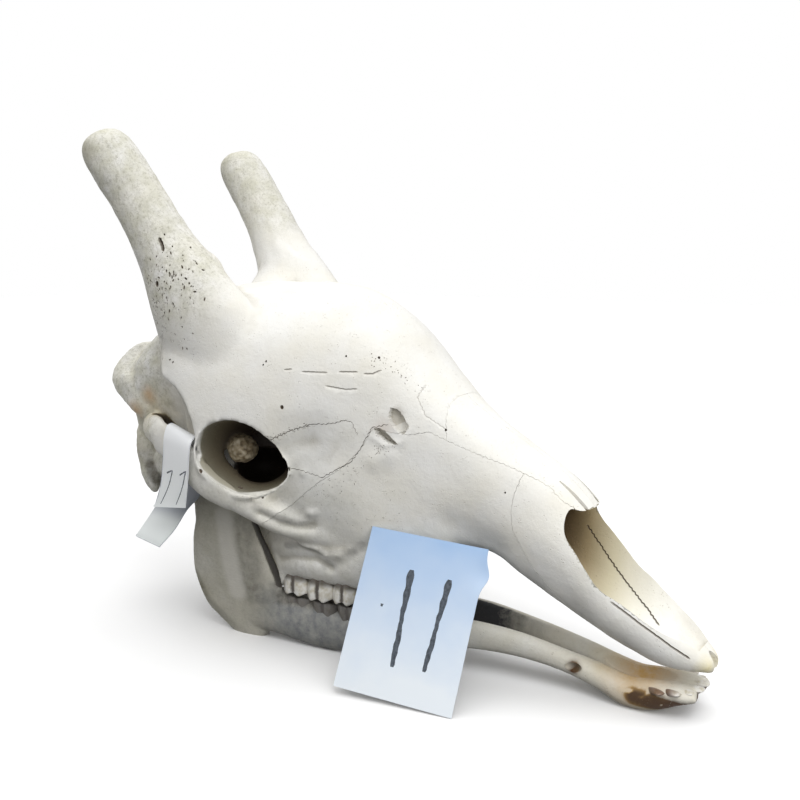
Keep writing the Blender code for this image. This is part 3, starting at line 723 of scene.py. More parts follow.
def prism(name, outline, inward, depth, lift=3.0):
    """Hole cutter: a flat outline raised a little above the bone and drawn inward."""
    bm = bmesh.new()
    way = Vector(inward).normalized()
    verts = [bm.verts.new(Vector(p) - way * lift) for p in outline]
    face = bm.faces.new(verts)
    grown = bmesh.ops.extrude_face_region(bm, geom=[face])["geom"]
    moved = [g for g in grown if isinstance(g, bmesh.types.BMVert)]
    bmesh.ops.translate(bm, vec=way * (depth + lift), verts=moved)
    return to_object(name, bm)


def uneven(outline, reach=0.5, seed=SEED):
    """Closed outline whose edge wanders a little."""
    chance = random.Random(seed)
    points = [Vector(p) for p in outline]
    result = []
    for a, b in zip(points, points[1:] + points[:1]):
        steps = max(1, round((b - a).length / 2))
        for k in range(steps):
            shake = Vector((0, chance.uniform(-reach, reach), chance.uniform(-reach, reach)))
            result.append(a.lerp(b, k / steps) + shake)
    return result


cuts = [section_loft("nose", NOSE, 96, 120)]
NOSE_SKIN = skin_of(cuts[0])
for outline in (FRONT_WINDOW, REAR_WINDOW):
    cuts += both(prism("window", uneven(outline), (-1, 0.1, -0.1), 11))
boolean(skull, cuts)
for name, rows in (("fissure", FISSURE), ("notch", NASAL_NOTCH)):
    boolean(skull, both(sweep(name, rows, 16, 40)))
boolean(skull, [sweep("nose_groove", NOSE_GROOVE, 16, 60)])
boolean(skull, [ellipsoid("tip_notch", *TIP_NOTCH)])
print("with its openings", len(skull.data.polygons), "faces")

# %% [markdown]
# ## Seams, grooves and small holes
#
# The bones of a skull meet in seams that wander like a river. Each seam is a thin wavy wall that cuts
# the whole skin, so the gap is real and seen from all sides. Where a seam stays inside one bone of the
# measured model, it is a shallow groove instead: a thin ribbon that follows a line laid on the skin.

# %% Lines that wander
def wavy(points, normal, step, reach, chance):
    """The same line with small seeded turns to either side."""
    points = [Vector(p) for p in points]
    line = [points[0]]
    way = 1
    for a, b in zip(points, points[1:]):
        count = max(1, round((b - a).length / step))
        side = (b - a).cross(Vector(normal)).normalized()
        for k in range(1, count + 1):
            off = way * reach * chance.uniform(0.3, 1.0) if k < count else 0
            line.append(a.lerp(b, k / count) + side * off)
            way = -way
    return line


def seam_wall(name, outline, reach=160):
    """Thin wall across the skull that follows an outline of (y, z) points."""
    bm = bmesh.new()
    chance = random.Random(SEED)
    line = wavy([(0, y, z) for y, z in outline], (1, 0, 0), 2.6, 0.55, chance)
    verts = [bm.verts.new((-reach, p.y, p.z)) for p in line]
    edges = [bm.edges.new(pair) for pair in zip(verts, verts[1:])]
    grown = bmesh.ops.extrude_edge_only(bm, edges=edges)["geom"]
    new = [g for g in grown if isinstance(g, bmesh.types.BMVert)]
    bmesh.ops.translate(bm, vec=(2 * reach, 0, 0), verts=new)
    return apply(to_object(name, bm), "SOLIDIFY", thickness=SEAM, offset=0.0)


# %% Wavy walls and grooves
def groove(name, points, normal, half_width, depth, step=2.2, reach=0.7, seed=SEED):
    """Thin wavy ribbon along a line that is laid on the bone, half of it inside."""
    line = wavy(points, normal, step, reach, random.Random(seed))
    rows = []
    for k, p in enumerate(line):
        place, way, *_ = SKIN.find_nearest(p)
        thin = 0.35 if k in (0, len(line) - 1) else 1.0
        rows.append((*place, depth * (0.5 + 0.5 * thin), half_width * thin))
    return sweep(name, rows, 10, max(12, 3 * len(rows)), axis=normal)


def dimple(name, point, radii, turn=0.0):
    """Small cutter sunk in the bone: radii along the surface, up the surface and into it."""
    place, way, *_ = SKIN.find_nearest(Vector(point))
    frame = way.to_track_quat("Z", "Y").to_matrix().to_4x4() @ Matrix.Rotation(turn, 4, "Z")
    bm = bmesh.new()
    bmesh.ops.create_uvsphere(bm, u_segments=14, v_segments=9, radius=1)
    matrix = Matrix.Translation(place) @ frame @ Matrix.Diagonal((*radii, 1))
    bmesh.ops.transform(bm, matrix=matrix, verts=bm.verts)
    return to_object(name, bm)


SKIN = skin_of(skull)
FULL_SKIN = SKIN

# %% [markdown]
# The lines below were traced on the right side of the skull. They are laid on the left side as well,
# since a skull is nearly the same on both sides.

# %% Traced lines
LACRIMAL_SEAM = (
    (-67, 279, 228), (-72, 293, 224), (-74, 299, 213), (-75, 303, 204), (-78, 312, 192), (-82, 324, 185),
    (-86, 337, 177), (-95, 354, 183), (-103, 366, 186),
)
FRONTAL_SEAM = (
    (-111, 393, 209), (-106, 379, 210), (-103, 359, 219), (-93, 344, 224), (-86, 328, 226), (-80, 315, 230),
    (-78, 310, 228), (-76, 305, 216),
)
BROW_GROOVES = (
    ((-97, 371, 273), (-94, 363, 274)),
    ((-92, 355, 272), (-88, 342, 272), (-84, 332, 272)),
    ((-80, 323, 273), (-73, 307, 273)),
    ((-72, 302, 272), (-68, 295, 272), (-63, 288, 276)),
    ((-86, 333, 260), (-79, 316, 257), (-75, 306, 258)),
)
ROUGH_LINE = ((-49, 230, 226), (-54, 249, 237), (-53, 257, 254), (-39, 253, 266))
FORAMINA = (
    (-102, 369, 240, 1.7), (-49, 231, 226, 1.1), (-99, 389, 280, 1.0), (-101, 391, 277, 0.8),
    (-60, 292, 288, 1.2), (-74, 319, 288, 0.9), (-113, 440, 214, 1.0), (-46, 176, 176, 0.8),
    (-102, 419, 161, 2.6), (-127, 447, 178, 2.1), (-98, 396, 152, 1.2),
)
# lines of fine pits: count, spread, largest size, points
STIPPLE = (
    (110, 3.2, 0.5, ((-111, 393, 209), (-106, 379, 210), (-103, 359, 219), (-93, 344, 224))),
    (60, 5.5, 0.5, ((-70, 290, 205), (-66, 276, 212), (-72, 296, 196))),
    (70, 13, 0.45, ((-95, 352, 160), (-84, 325, 165), (-78, 305, 185))),
    (36, 16, 0.45, ((-88, 330, 130), (-74, 290, 140), (-62, 262, 160))),
    (30, 10, 0.6, ((-70, 300, 285), (-60, 280, 285), (-52, 255, 262))),
)
NOSE_LINE = (
    (-35, 133, 135), (-36, 120, 118), (-36, 109, 104), (-35, 96, 90), (-28, 79, 77), (-23, 70, 71),
    (-16, 58, 62),
)
RIM_SLIT = ((-43, 81, 97), (-40, 69, 89), (-37, 58, 81), (-32, 42, 70), (-28, 33, 63), (-22, 20, 54))
HORN_SLIT = ((-113, 503, 391), (-115, 498, 385), (-115, 496, 378))
HORN_HOLE = (-118, 502, 347)
HORN_PITS = (
    (-115, 505, 329), (-119, 482, 329), (-114, 470, 354), (-100, 457, 365), (-114, 460, 342),
    (-112, 494, 276), (-113, 489, 274),
)


def two_sided(maker, points, *rest, **named):
    """Makes a cutter on the right side, and again on the left from the mirrored points."""
    if isinstance(points[0], (int, float)):
        other = (-points[0], *points[1:])
    else:
        other = [(-x, y, z) for x, y, z in points]
    return [maker("right", points, *rest, **named), maker("left", other, *rest, **named)]


# %% Fine grooves and holes
fine = []
for number, line in enumerate((LACRIMAL_SEAM, FRONTAL_SEAM)):
    fine += two_sided(groove, line, (1, 0, 0), 0.32, 1.3, seed=SEED + number)
for number, line in enumerate(BROW_GROOVES):
    fine += two_sided(groove, line, (0.7, 0, 0.7), 0.55, 1.5, reach=0.25, seed=number)
fine += two_sided(groove, ROUGH_LINE, (0.8, 0, 0.6), 0.3, 0.8, reach=0.9, seed=3)
fine += two_sided(groove, NOSE_LINE, (1, 0, 0), 0.7, 1.8, reach=0.7)
fine += two_sided(groove, RIM_SLIT, (0.8, 0, 0.6), 0.8, 2.2, reach=0.2)
fine += two_sided(groove, HORN_SLIT, (1, 0, 0), 1.5, 5, reach=0.2)
fine += two_sided(dimple, HORN_HOLE, (2.4, 3.0, 5.0))
for x, y, z, r in FORAMINA:
    fine += two_sided(dimple, (x, y, z), (r, r * 1.2, 2.5))
for number, pit in enumerate(HORN_PITS):
    fine += two_sided(dimple, pit, (0.9, 1.7, 2.0), turn=0.4 * number)
print("cutters", len(fine), "with faces", sum(len(c.data.polygons) for c in fine))
boolean(skull, fine)

# %% Pits of the horn base
PIT_COUNT = 150          # on each horn
PIT_FIELD = ((96, 122), (448, 516), (276, 394))      # x, y and z on the left horn
PIT_SIZES = (0.35, 0.95)
chance = random.Random(SEED)
pits = []
for side in (-1, 1):
    for number in range(PIT_COUNT):
        rear = chance.betavariate(2.4, 1.5)
        out = chance.uniform(*PIT_FIELD[0])
        rise = chance.betavariate(1.7, 1.9)
        y, z = (a + (b - a) * share for (a, b), share in zip(PIT_FIELD[1:], (rear, rise)))
        place = (side * out, y, z)
        size = chance.uniform(*PIT_SIZES)
        radii = (size, size * chance.uniform(1.0, 2.4), 1.4)
        pits.append(dimple("pit", place, radii, turn=chance.uniform(-0.5, 0.5)))
    for count, spread, largest, line in STIPPLE:
        for number in range(count):
            k = chance.uniform(0, len(line) - 1.001)
            place = Vector(line[int(k)]).lerp(Vector(line[int(k) + 1]), k % 1)
            place += Vector([chance.gauss(0, spread / 2) for _ in range(3)])
            place.x = abs(place.x) * side
            size = chance.uniform(0.45, 1.0) * largest
            radii = (size, size * chance.uniform(1, 2), 0.9)
            pits.append(dimple("pit", place, radii, turn=chance.uniform(0, 3)))
boolean(skull, pits)
print("pitted skin", len(skull.data.polygons))

# %% Part the bones
def ossicone_cuts():
    """Very thin discs across both horns, a little above the roof of the skull."""
    low, high = (Vector(OSSICONE[OSSICONE_CUT_STATION + k][:3]) for k in (0, 1))
    axis = (high - low).normalized()
    bm = bmesh.new()
    bmesh.ops.create_cone(bm, cap_ends=True, segments=32, radius1=80, radius2=80, depth=0.03)
    turn = Vector((0, 0, 1)).rotation_difference(axis).to_matrix().to_4x4()
    bmesh.ops.transform(bm, matrix=Matrix.Translation((low + high) / 2) @ turn, verts=bm.verts)
    return both(to_object("ossicone_cut", bm))


walls = [seam_wall("seam", line) for line in (SEAM_PREMAXILLA, SEAM_NASAL, SEAM_MAXILLA)]
boolean(skull, walls + ossicone_cuts())
pieces = islands(skull, 8)
print("pieces", [(len(p.data.polygons), tuple(round(v) for v in centre_of(p))) for p in pieces])
CRANIUM = nearest(pieces, (0, 470, 230))
MAXILLAE = nearest(pieces, (0, 280, 130))
NASALS = nearest(pieces, (0, 190, 210))
PREMAXILLAE = nearest(pieces, (0, 90, 96))
HORNS = [nearest(pieces, (side * 90, 542, 416)) for side in (-1, 1)]
for scrap in pieces:
    bpy.data.objects.remove(scrap)


def halves(obj):
    """Split a piece along the middle plane: right half, then left half."""
    middle = block("middle", (-SEAM / 2, -20, -20), (SEAM / 2, 700, 400))
    parts = islands(boolean(obj, [middle]), 2)
    return sorted(parts, key=lambda p: centre_of(p).x)


BONES = {"cranium": CRANIUM}
for name, parts in (("ossicone", HORNS), ("maxilla", halves(MAXILLAE)), ("nasal", halves(NASALS)),
                    ("premaxilla", halves(PREMAXILLAE))):
    BONES[name + "_right"], BONES[name + "_left"] = parts
print({name: len(obj.data.polygons) for name, obj in BONES.items()})

# %% [markdown]
# ## Lower jaws
#
# Each half of the lower jaw is a long curved bar for the body, a broad flat sheet of bone for the
# rising part, and two processes at its top. The bars are fused in the same way as the skull was.

# %% Sizes of the lower jaw
# centre x y z, half thickness, half height
JAW_BODY = (
    (10, 16, 20, 12, 5),
    (12, 30, 18.5, 14.5, 8),
    (12.5, 50, 14, 15.5, 12.5),
    (13, 72, 12, 15, 12.8),
    (14, 92, 17.5, 13, 10.5),
    (16.5, 120, 25, 9.5, 9.5),
    (20, 180, 33.5, 8.5, 11.5),
    (27.5, 228, 34.5, 9, 13.7),
    (42, 293, 25, 11, 16),
    (51, 355, 21.5, 12, 22),
    (58, 410, 29.5, 11, 24),
    (62, 440, 34, 9, 26),
)
JAW_RAMUS = (
    (57, 429, -1.5, 5, 10),
    (60, 443, 13, 8, 28),
    (64, 450, 32, 9, 47),
    (69.5, 455.5, 62, 8.5, 54.5),
    (74, 460, 92, 8, 48),
    (76, 464, 122, 7.5, 38),
    (77, 470, 142, 7, 35),
    (77, 482, 156, 6, 32),
)
JAW_CONDYLE = ((78, 508, 158), (20, 9, 9))
JAW_CORONOID = (
    (76, 460, 140, 6, 16),
    (78, 468, 170, 5, 13),
    (78, 479, 196, 4, 9),
    (77, 490, 210, 3, 4),
)
SYMPHYSIS_HOLLOW = ((0, 68, 36), (17, 44, 17))
SYMPHYSIS_END = 130
MENTAL_FORAMEN = ((24, 118, 26), (5, 8, 4))

# %% Fuse and trim the jaw
def lower_jaw():
    """Left half of the lower jaw, cut flat where it meets the other half."""
    masses = [sweep("body", JAW_BODY, 64, 140, 2.2), sweep("ramus", JAW_RAMUS, 80, 90, 2.3)]
    masses += [sweep("coronoid", JAW_CORONOID), ellipsoid("condyle", *JAW_CONDYLE)]
    jaw = melted(joined("mandible", masses), 8, 1.8)
    cuts = [block("inner", (-60, -20, -20), (0.25, SYMPHYSIS_END, 120)),
            block("below", (-200, -50, -30), (200, 700, 0)),
            ellipsoid("hollow", *SYMPHYSIS_HOLLOW), ellipsoid("foramen", *MENTAL_FORAMEN)]
    boolean(jaw, cuts)
    return islands(jaw, 1)[0]


BONES["mandible_left"] = lower_jaw()
BONES["mandible_right"] = mirrored(BONES["mandible_left"])
print("lower jaw", len(BONES["mandible_left"].data.polygons), "faces")

# %% [markdown]
# ## Teeth
#
# A giraffe chews with low broad teeth. The premolars have one crescent and the molars two, with a deep
# cleft between them. Each crown is a sphere whose rings are laid on a lobed outline that swells above
# the neck and then closes into a worn, slightly dished top with a raised outer edge.

# %% Sizes of the cheek teeth
# length, width, lobes, front to rear
CHEEK_TEETH = ((18, 15, 1), (20, 17, 1), (21, 19, 1), (25, 21, 2), (28, 22, 2), (29, 21, 2))
TOOTH_ROW_START = 260
UPPER_ARCADE = ((255, 47), (300, 53), (350, 58), (405, 60))
LOWER_ARCADE = ((255, 38), (300, 45), (350, 51), (405, 56))
UPPER_GUM = 71
LOWER_GUM = 37
BITE = 50.5
BITE_GAP = 1.2
TOOTH_VARIATION = 0.05
TOOTH_TWIST = math.radians(2.5)
ROOT_SUNK = 4.0          # mm of every crown that stay in the gum
CROWN_SIDE = 0.74        # share of a crown's rings on its side, the others close the worn top
CROWN_NECK = 0.80        # width of the neck as a share of the widest part
CROWN_BULGE = 0.62       # 0.5 puts the widest part at the top edge and more brings it nearer to the neck
CROWN_SQUARE = 0.72      # 1 gives an oval outline and less a squarer one
CLEFT_WIDTH = 0.11       # as a share of half the crown's length
CLEFT_OUTER = 0.20       # depth on the outer side, as a share of half the crown's width
CLEFT_INNER = 0.16
TOP_DISH = 6.0 / 19      # hollow of the worn top as a share of the height
TOP_FALL = 1.6           # mm from the edge of the worn top to its middle

# %% One cheek tooth
def crown(length, width, height, lobes, chance):
    """Crown with its neck at z = 0, its worn top at z = height and its outer side at +x."""
    lean = chance.uniform(-0.6, 0.6)

    def place(share, angle):
        t = np.clip(share, 0, 1)
        side = np.clip(t / CROWN_SIDE, 0, 1)
        inward = np.clip((t - CROWN_SIDE) / (1 - CROWN_SIDE), 0, 1)
        bulge = np.sin(side * math.pi * CROWN_BULGE) / math.sin(math.pi * CROWN_BULGE)
        swell = CROWN_NECK + (1 - CROWN_NECK) * bulge
        c, s = np.cos(angle), np.sin(angle)
        x = np.copysign(np.abs(c) ** CROWN_SQUARE, c)
        y = np.copysign(np.abs(s) ** CROWN_SQUARE, s)
        cleft = np.exp(-(y / CLEFT_WIDTH) ** 2) if lobes == 2 else np.zeros_like(y)
        outer = np.clip(x, 0, 1)
        ribs = 0.05 * np.cos(4 * math.pi * y * lobes / 2) * outer
        x = x * (1 - CLEFT_OUTER * cleft * outer - CLEFT_INNER * cleft * np.clip(-x, 0, 1)) + ribs
        narrow = 1 - 0.10 * np.abs(y) ** 3
        px = x * width / 2 * swell * narrow * (1 - inward)
        py = y * length / 2 * swell * (1 - inward)
        cusp = 0.5 - 0.5 * np.cos(math.pi * lobes * (y + 1)) if lobes == 2 else 1 - np.abs(y) ** 1.5
        edge = height * (0.89 + 0.11 * cusp * (0.55 + 0.45 * outer)) * side
        pz = edge - inward * (1 - inward) * TOP_DISH * height - inward * TOP_FALL
        px, py, pz = (np.where(share < 0, 0.0, p) for p in (px, py, pz))
        return np.stack([px, py + lean * side, pz], 1)

    return wrapped_sphere("crown", 44, 26, place)


def gathered(name, crowns):
    """All crowns of one row as one object."""
    bm = bmesh.new()
    for tooth in crowns:
        bm.from_mesh(tooth.data)
        bpy.data.objects.remove(tooth)
    return to_object(name, bm)


def cheek_teeth(name, arcade, way, bite, gum, chance):
    """Premolars and molars of one side."""
    crowns = []
    y = TOOTH_ROW_START
    for length, width, lobes in CHEEK_TEETH:
        middle = y + length / 2
        x = float(flow(arcade, middle))
        lean = math.atan((float(flow(arcade, middle + 4)) - float(flow(arcade, middle - 4))) / 8)
        high = (abs(gum - bite) + ROOT_SUNK) * chance.uniform(1 - TOOTH_VARIATION, 1)
        wide = width * chance.uniform(1 - TOOTH_VARIATION, 1 + TOOTH_VARIATION)
        tooth = crown(length * 1.02, wide, high, lobes, chance)
        up = 1 if bite > gum else -1
        place = Matrix.Translation((way * x, middle, gum - up * ROOT_SUNK))
        turn = Matrix.Rotation(chance.uniform(-TOOTH_TWIST, TOOTH_TWIST) - way * lean, 4, "Z")
        tooth.data.transform(place @ turn @ Matrix.Diagonal((way, 1, up, 1)))
        crowns.append(tooth)
        y += length
    return gathered(name, crowns)


chance = random.Random(SEED)
TEETH = {}
ROWS = (("upper_teeth", UPPER_ARCADE, BITE + BITE_GAP / 2, UPPER_GUM),
        ("lower_teeth", LOWER_ARCADE, BITE - BITE_GAP / 2, LOWER_GUM))
for side, way in (("right", -1), ("left", 1)):
    for name, arcade, bite, gum in ROWS:
        TEETH[name + "_" + side] = cheek_teeth(name, arcade, way, bite, gum, chance)
print("cheek teeth", {name: len(obj.data.polygons) for name, obj in TEETH.items()})

# %% Front teeth
# middle outward: x, y, crown length, width, fan angle in degrees
FRONT_TEETH = (
    (5.6, 27, 17, 10.2, 3), (14.5, 31, 16, 9.4, 13), (21.4, 39, 15, 8.6, 24), (24.6, 50, 14, 8, 36),
)
FRONT_TOOTH_HEIGHT = 22
# share of the length from the root, share of the full breadth or thickness
SPADE_BREADTH = ((0, 0.30), (0.35, 0.45), (0.6, 0.85), (0.85, 1.0), (1.0, 0.80))
SPADE_THICKNESS = ((0, 0.9), (0.4, 1.0), (0.7, 0.75), (1.0, 0.28))
SPADE_HALF_THICKNESS = 3.4


def spade(length, width):
    """Spade shaped front tooth along -Y: narrow root, broad flat crown with a blunt front edge."""
    def place(share, angle):
        t = np.clip(share, 0, 1)
        x = np.cos(angle) * flow(SPADE_BREADTH, t) * width / 2
        z = np.sin(angle) * flow(SPADE_THICKNESS, t) * SPADE_HALF_THICKNESS
        y = length * 0.55 - t * length * 1.5
        ends = (share < 0) | (share > 1)
        z = z + 1.8 * np.sin(t * math.pi * 0.5) ** 2 - 4 * (1 - t) ** 2
        return np.stack([np.where(ends, 0, x), y, np.where(ends, 1.8 * t - 4 * (1 - t), z)], 1)

    return wrapped_sphere("spade", 28, 30, place)


def front_teeth(way, chance):
    """Incisors and the canine of one lower jaw, laid forward like a spread fan."""
    crowns = []
    for x, y, length, width, fan in FRONT_TEETH:
        long = length * chance.uniform(1 - TOOTH_VARIATION, 1 + TOOTH_VARIATION)
        turn = math.radians(fan) + chance.uniform(-TOOTH_TWIST, TOOTH_TWIST)
        tooth = spade(long, width)
        tooth.data.transform(Matrix.Diagonal((way, 1, 1, 1)) @ Matrix.Translation((x, y, FRONT_TOOTH_HEIGHT))
                             @ Matrix.Rotation(turn, 4, "Z"))
        crowns.append(tooth)
    return gathered("front_teeth", crowns)


for side, way in (("right", -1), ("left", 1)):
    TEETH["front_teeth_" + side] = front_teeth(way, chance)
print("front teeth", len(TEETH["front_teeth_left"].data.polygons), "faces a side")

# %% [markdown]
# ## Paper tags
#
# A stiff card stands on one corner and leans on the cheek. A paper strip hangs over the arch behind the
# eye like a saddle. Both are thin sheets that get their thickness last, so that the bends stay even.
# The plain strokes are thin ribbons of dried marker just above the paper.

# %% The leaning card
PAPER = 0.7
CARD_WIDTH = 110
CARD_HEIGHT = 141
CARD_CORNER = (-118, 185, 0.4)
CARD_ALONG = (-0.117, 0.99, 0.072)
CARD_UP = (0.43, -0.007, 0.903)
up = Vector(CARD_UP).normalized()
edge = Vector(CARD_ALONG)
edge = (edge - up * edge.dot(up)).normalized()
CARD_FRAME = Matrix.Translation(CARD_CORNER) @ Matrix((edge, up.cross(edge), up)).transposed().to_4x4()


def card_wave(x, z):
    """Slight waves of the card, 40 mm wide."""
    return 0.25 * noise.noise(Vector((x / 40, z / 40, 0)))


def on_card(x, z, lift):
    """Point of the card: x along it, z up it, lift out of its plane."""
    return CARD_FRAME @ Vector((x, lift + card_wave(x, z), z))


def card():
    """Sheet of stiff paper with hardly any bend, and a small curl at its front edge."""
    bm = bmesh.new()
    bmesh.ops.create_grid(bm, x_segments=36, y_segments=46, size=0.5)
    for v in bm.verts:
        x = (v.co.x + 0.5) * CARD_WIDTH
        z = (v.co.y + 0.5) * CARD_HEIGHT
        curl = math.exp(-((z - 118) / 10) ** 2) * max(0.0, 1 - x / 20) ** 2
        v.co = CARD_FRAME @ Vector((x - 5 * curl, card_wave(x, z) - 2 * curl, z))
    return apply(to_object("card", bm), "SOLIDIFY", thickness=PAPER, offset=0.0)


TAGS = {"tag_card": card()}
print("card faces", len(TAGS["tag_card"].data.polygons))

# %% The folded strip
FOLD_EDGES = (
    ((-112, 517, 90), (-102, 560, 92)),
    ((-106, 502, 108), (-95, 552, 107)),
    ((-101, 489, 129), (-90, 541, 124)),
    ((-99, 472, 148), (-87, 522, 148)),
    ((-100, 473, 170), (-86, 513, 182)),
    ((-100.5, 473, 187), (-87, 512, 203)),
    ((-106, 469, 203), (-94, 510, 211)),
    ((-114, 465, 204), (-102, 509, 211)),
    ((-120.5, 464, 198), (-107.5, 508, 204)),
    ((-124, 463, 184), (-111, 507, 192)),
    ((-126, 463, 160), (-114, 509, 158)),
    ((-126, 466, 140), (-117, 516, 132)),
)


def on_strip(along, across):
    """Point of the folded strip: along runs from the inner end to the outer, across from front to rear."""
    points = []
    for edge in (0, 1):
        line = [station[edge] for station in FOLD_EDGES]
        points.append(Vector([float(flow(list(enumerate(place)), along)) for place in zip(*line)]))
    return points[0].lerp(points[1], across)


def folded_strip():
    bm = bmesh.new()
    bmesh.ops.create_grid(bm, x_segments=66, y_segments=14, size=0.5)
    for v in bm.verts:
        v.co = on_strip((v.co.x + 0.5) * (len(FOLD_EDGES) - 1), v.co.y + 0.5)
    bmesh.ops.inset_region(bm, faces=bm.faces[:], thickness=0.6, use_boundary=True, use_even_offset=True)
    rim = bm.verts.layers.float.new("rim")
    for v in bm.verts:
        v[rim] = 1.0 if v.is_boundary else 0.0
    return apply(to_object("strip", bm), "SOLIDIFY", thickness=PAPER * 0.9, offset=0.0)


def above_strip(along, across, lift):
    """Point a little outside the folded strip."""
    here = on_strip(along, across)
    way = (on_strip(along + 0.05, across) - here).cross(on_strip(along, across + 0.05) - here).normalized()
    return here + way * (lift if way.x < 0 else -lift)


TAGS["tag_folded"] = folded_strip()
print("strip faces", len(TAGS["tag_folded"].data.polygons))

# %% [markdown]
# ## What the surface remembers
#
# Old bone is white where it is smooth and high and brown in its cracks, and the material paints shade into
# its hollows as grey. These three facts are measured on each mesh and kept as attributes, so the material
# can follow the real shape: how deep a point lies below the uncut skin, how hollow its neighbourhood is,
# and which stain and painted shade lie on it.

# %% Measure cracks and hollows
def depth_below(obj, skin, full=1.2):
    """0 on the uncut skin and 1 where a point lies deeper than the given depth in mm."""
    out = np.zeros(len(obj.data.vertices))
    for v in obj.data.vertices:
        out[v.index] = skin.find_nearest(v.co)[3]
    return np.clip((out - 0.12) / full, 0, 1)


def hollowness(obj, rounds):
    """Positive in hollows and negative on ridges, smoothed over a few rings of neighbours."""
    mesh = obj.data
    count = len(mesh.vertices)
    co = np.zeros(count * 3)
    mesh.vertices.foreach_get("co", co)
    co = co.reshape(-1, 3)
    normal = normals_of(obj)
    edges = np.zeros(len(mesh.edges) * 2, int)
    mesh.edges.foreach_get("vertices", edges)
    a, b = edges.reshape(-1, 2).T
    share = np.maximum(np.bincount(a, minlength=count) + np.bincount(b, minlength=count), 1)

    def around(values):
        total = np.bincount(a, values[b], count) + np.bincount(b, values[a], count)
        return total / share

    mean = np.stack([around(co[:, k]) for k in range(3)], 1)
    for _ in range(rounds):
        mean = np.stack([around(mean[:, k]) for k in range(3)], 1)
    return ((mean - co) * normal).sum(1)


# %% Colours
def linear(hex_colour):
    """sRGB hex value to linear red, green and blue."""
    parts = [int(hex_colour[k:k + 2], 16) / 255 for k in (1, 3, 5)]
    return [c / 12.92 if c <= 0.04045 else ((c + 0.055) / 1.055) ** 2.4 for c in parts]


def patches(co, marks):
    """Strength and colour of stains and painted shade at each point, from soft round marks: x, y, z, radius,
    hex, strength.
    """
    strength = np.zeros(len(co))
    colour = np.zeros((len(co), 3))
    for x, y, z, radius, tint, amount in marks:
        away = np.linalg.norm(np.abs(co) - (abs(x), y, z), axis=1) / radius
        here = amount * np.clip(1.15 - away, 0, 1) ** 1.2
        colour += np.outer(here, linear(tint))
        strength += here
    colour /= np.maximum(strength, 1e-6)[:, None]
    return np.clip(strength, 0, 1), colour


def covered(under, amount, tint):
    """Lays one more layer of stain, painted shade or painted highlight over those already there. tint is one
    hex colour or a colour for each point.
    """
    strength, colour = under
    tint = np.array(linear(tint)) if isinstance(tint, str) else tint
    total = 1 - (1 - strength) * (1 - amount)
    kept = (strength * (1 - amount))[:, None] * colour
    return total, (kept + amount[:, None] * tint) / np.maximum(total, 1e-6)[:, None]


def by_keys(value, keys):
    """Colour at each value, blended between (value, hex) keys."""
    table = np.array([linear(tint) for _, tint in keys])
    return np.stack([np.interp(value, [k for k, _ in keys], table[:, c]) for c in range(3)], 1)


def on_line(co, line, width):
    """1 on a line of points, falling softly to 0 at a distance of width."""
    return 1 - soft(away_from(co, line), 0.35 * width, width)


# %% Inside the eye socket and the nose
def in_socket(co):
    """Depth of each point below the rim of its eye socket, and 1 where it lies inside the rim's outline."""
    local = (np.abs(co) - ORBIT_CENTRE) @ np.array(SOCKET_TURN)
    depth = -local[:, 0]
    inside = rim_reach(np.arctan2(local[:, 2], local[:, 1])) - np.hypot(local[:, 1], local[:, 2])
    inner = (np.abs(co) - DEEP_CENTRE) @ np.array(DEEP_TURN.to_matrix())
    inner = 1 - soft(np.linalg.norm(inner / DEEP_RADII, axis=1), 1.1, 1.22)
    depth = np.where(inner > 0.3, np.maximum(depth, 38), depth)
    return depth, np.maximum(soft(depth, 0.6, 3) * soft(inside, -0.4, 0.9) * (depth < 75), inner)


def in_nose(co, normal, full=1.6):
    """1 on the walls of the nose opening, which face its middle, and 0 elsewhere."""
    middle = flow([(row[0], 0.6 * row[5] + 0.4 * row[8] + 25) for row in NOSE], co[:, 1])
    inward = np.stack([-co[:, 0], np.zeros(len(co)), middle - co[:, 2]], 1)
    inward /= np.maximum(np.linalg.norm(inward, axis=1), 1e-6)[:, None]
    out = np.zeros(len(co))
    for k in np.flatnonzero((np.abs(co[:, 0]) < 55) & (co[:, 1] < 210) & (co[:, 2] > 40)):
        out[k] = 1 - min(1.0, NOSE_SKIN.find_nearest(Vector(co[k]))[3] / full)
    return soft(out, 0.0, 0.5) * soft((normal * inward).sum(1), -0.05, 0.3)


# %% Write them on the mesh
# The stain attribute and its colour hold real stains together with painted shade and painted highlights.
def remember(obj, crevice, hollow, stain_and_shade, colour, mottle=None):
    mesh = obj.data
    mottle = np.zeros(len(stain_and_shade)) if mottle is None else mottle
    for name, values in (("crevice", crevice), ("hollow", hollow), ("stain_and_shade", stain_and_shade), ("mottle", mottle)):
        layer = mesh.attributes.new(name, "FLOAT", "POINT")
        layer.data.foreach_set("value", np.asarray(values, float))
    layer = mesh.attributes.new("stain_and_shade_colour", "FLOAT_COLOR", "POINT")
    layer.data.foreach_set("color", np.column_stack([colour, np.ones(len(colour))]).ravel())


def shade(obj, degrees=42):
    """Smooth shading with sharp edges where faces meet at more than an angle."""
    obj.data.polygons.foreach_set("use_smooth", [True] * len(obj.data.polygons))
    obj.data.set_sharp_from_angle(angle=math.radians(degrees))


def painted(obj, surface):
    """Gives an object one material in place of those it has."""
    obj.data.materials.clear()
    obj.data.materials.append(surface)


def settle(obj, name):
    """Names a piece, moves it from millimetres into the shared frame and lets it ride on the skull."""
    obj.name = name
    obj.data.name = name
    obj.data.transform(Matrix.Scale(MM, 4) @ Matrix.Translation(SHIFT))
    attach(obj, "root")


# %% [markdown]
# ## Materials
#
# One small function adds a node, sets it and links it. Each pattern has a size in millimetres on the
# real thing, and its scale in the node is worked out from that size.

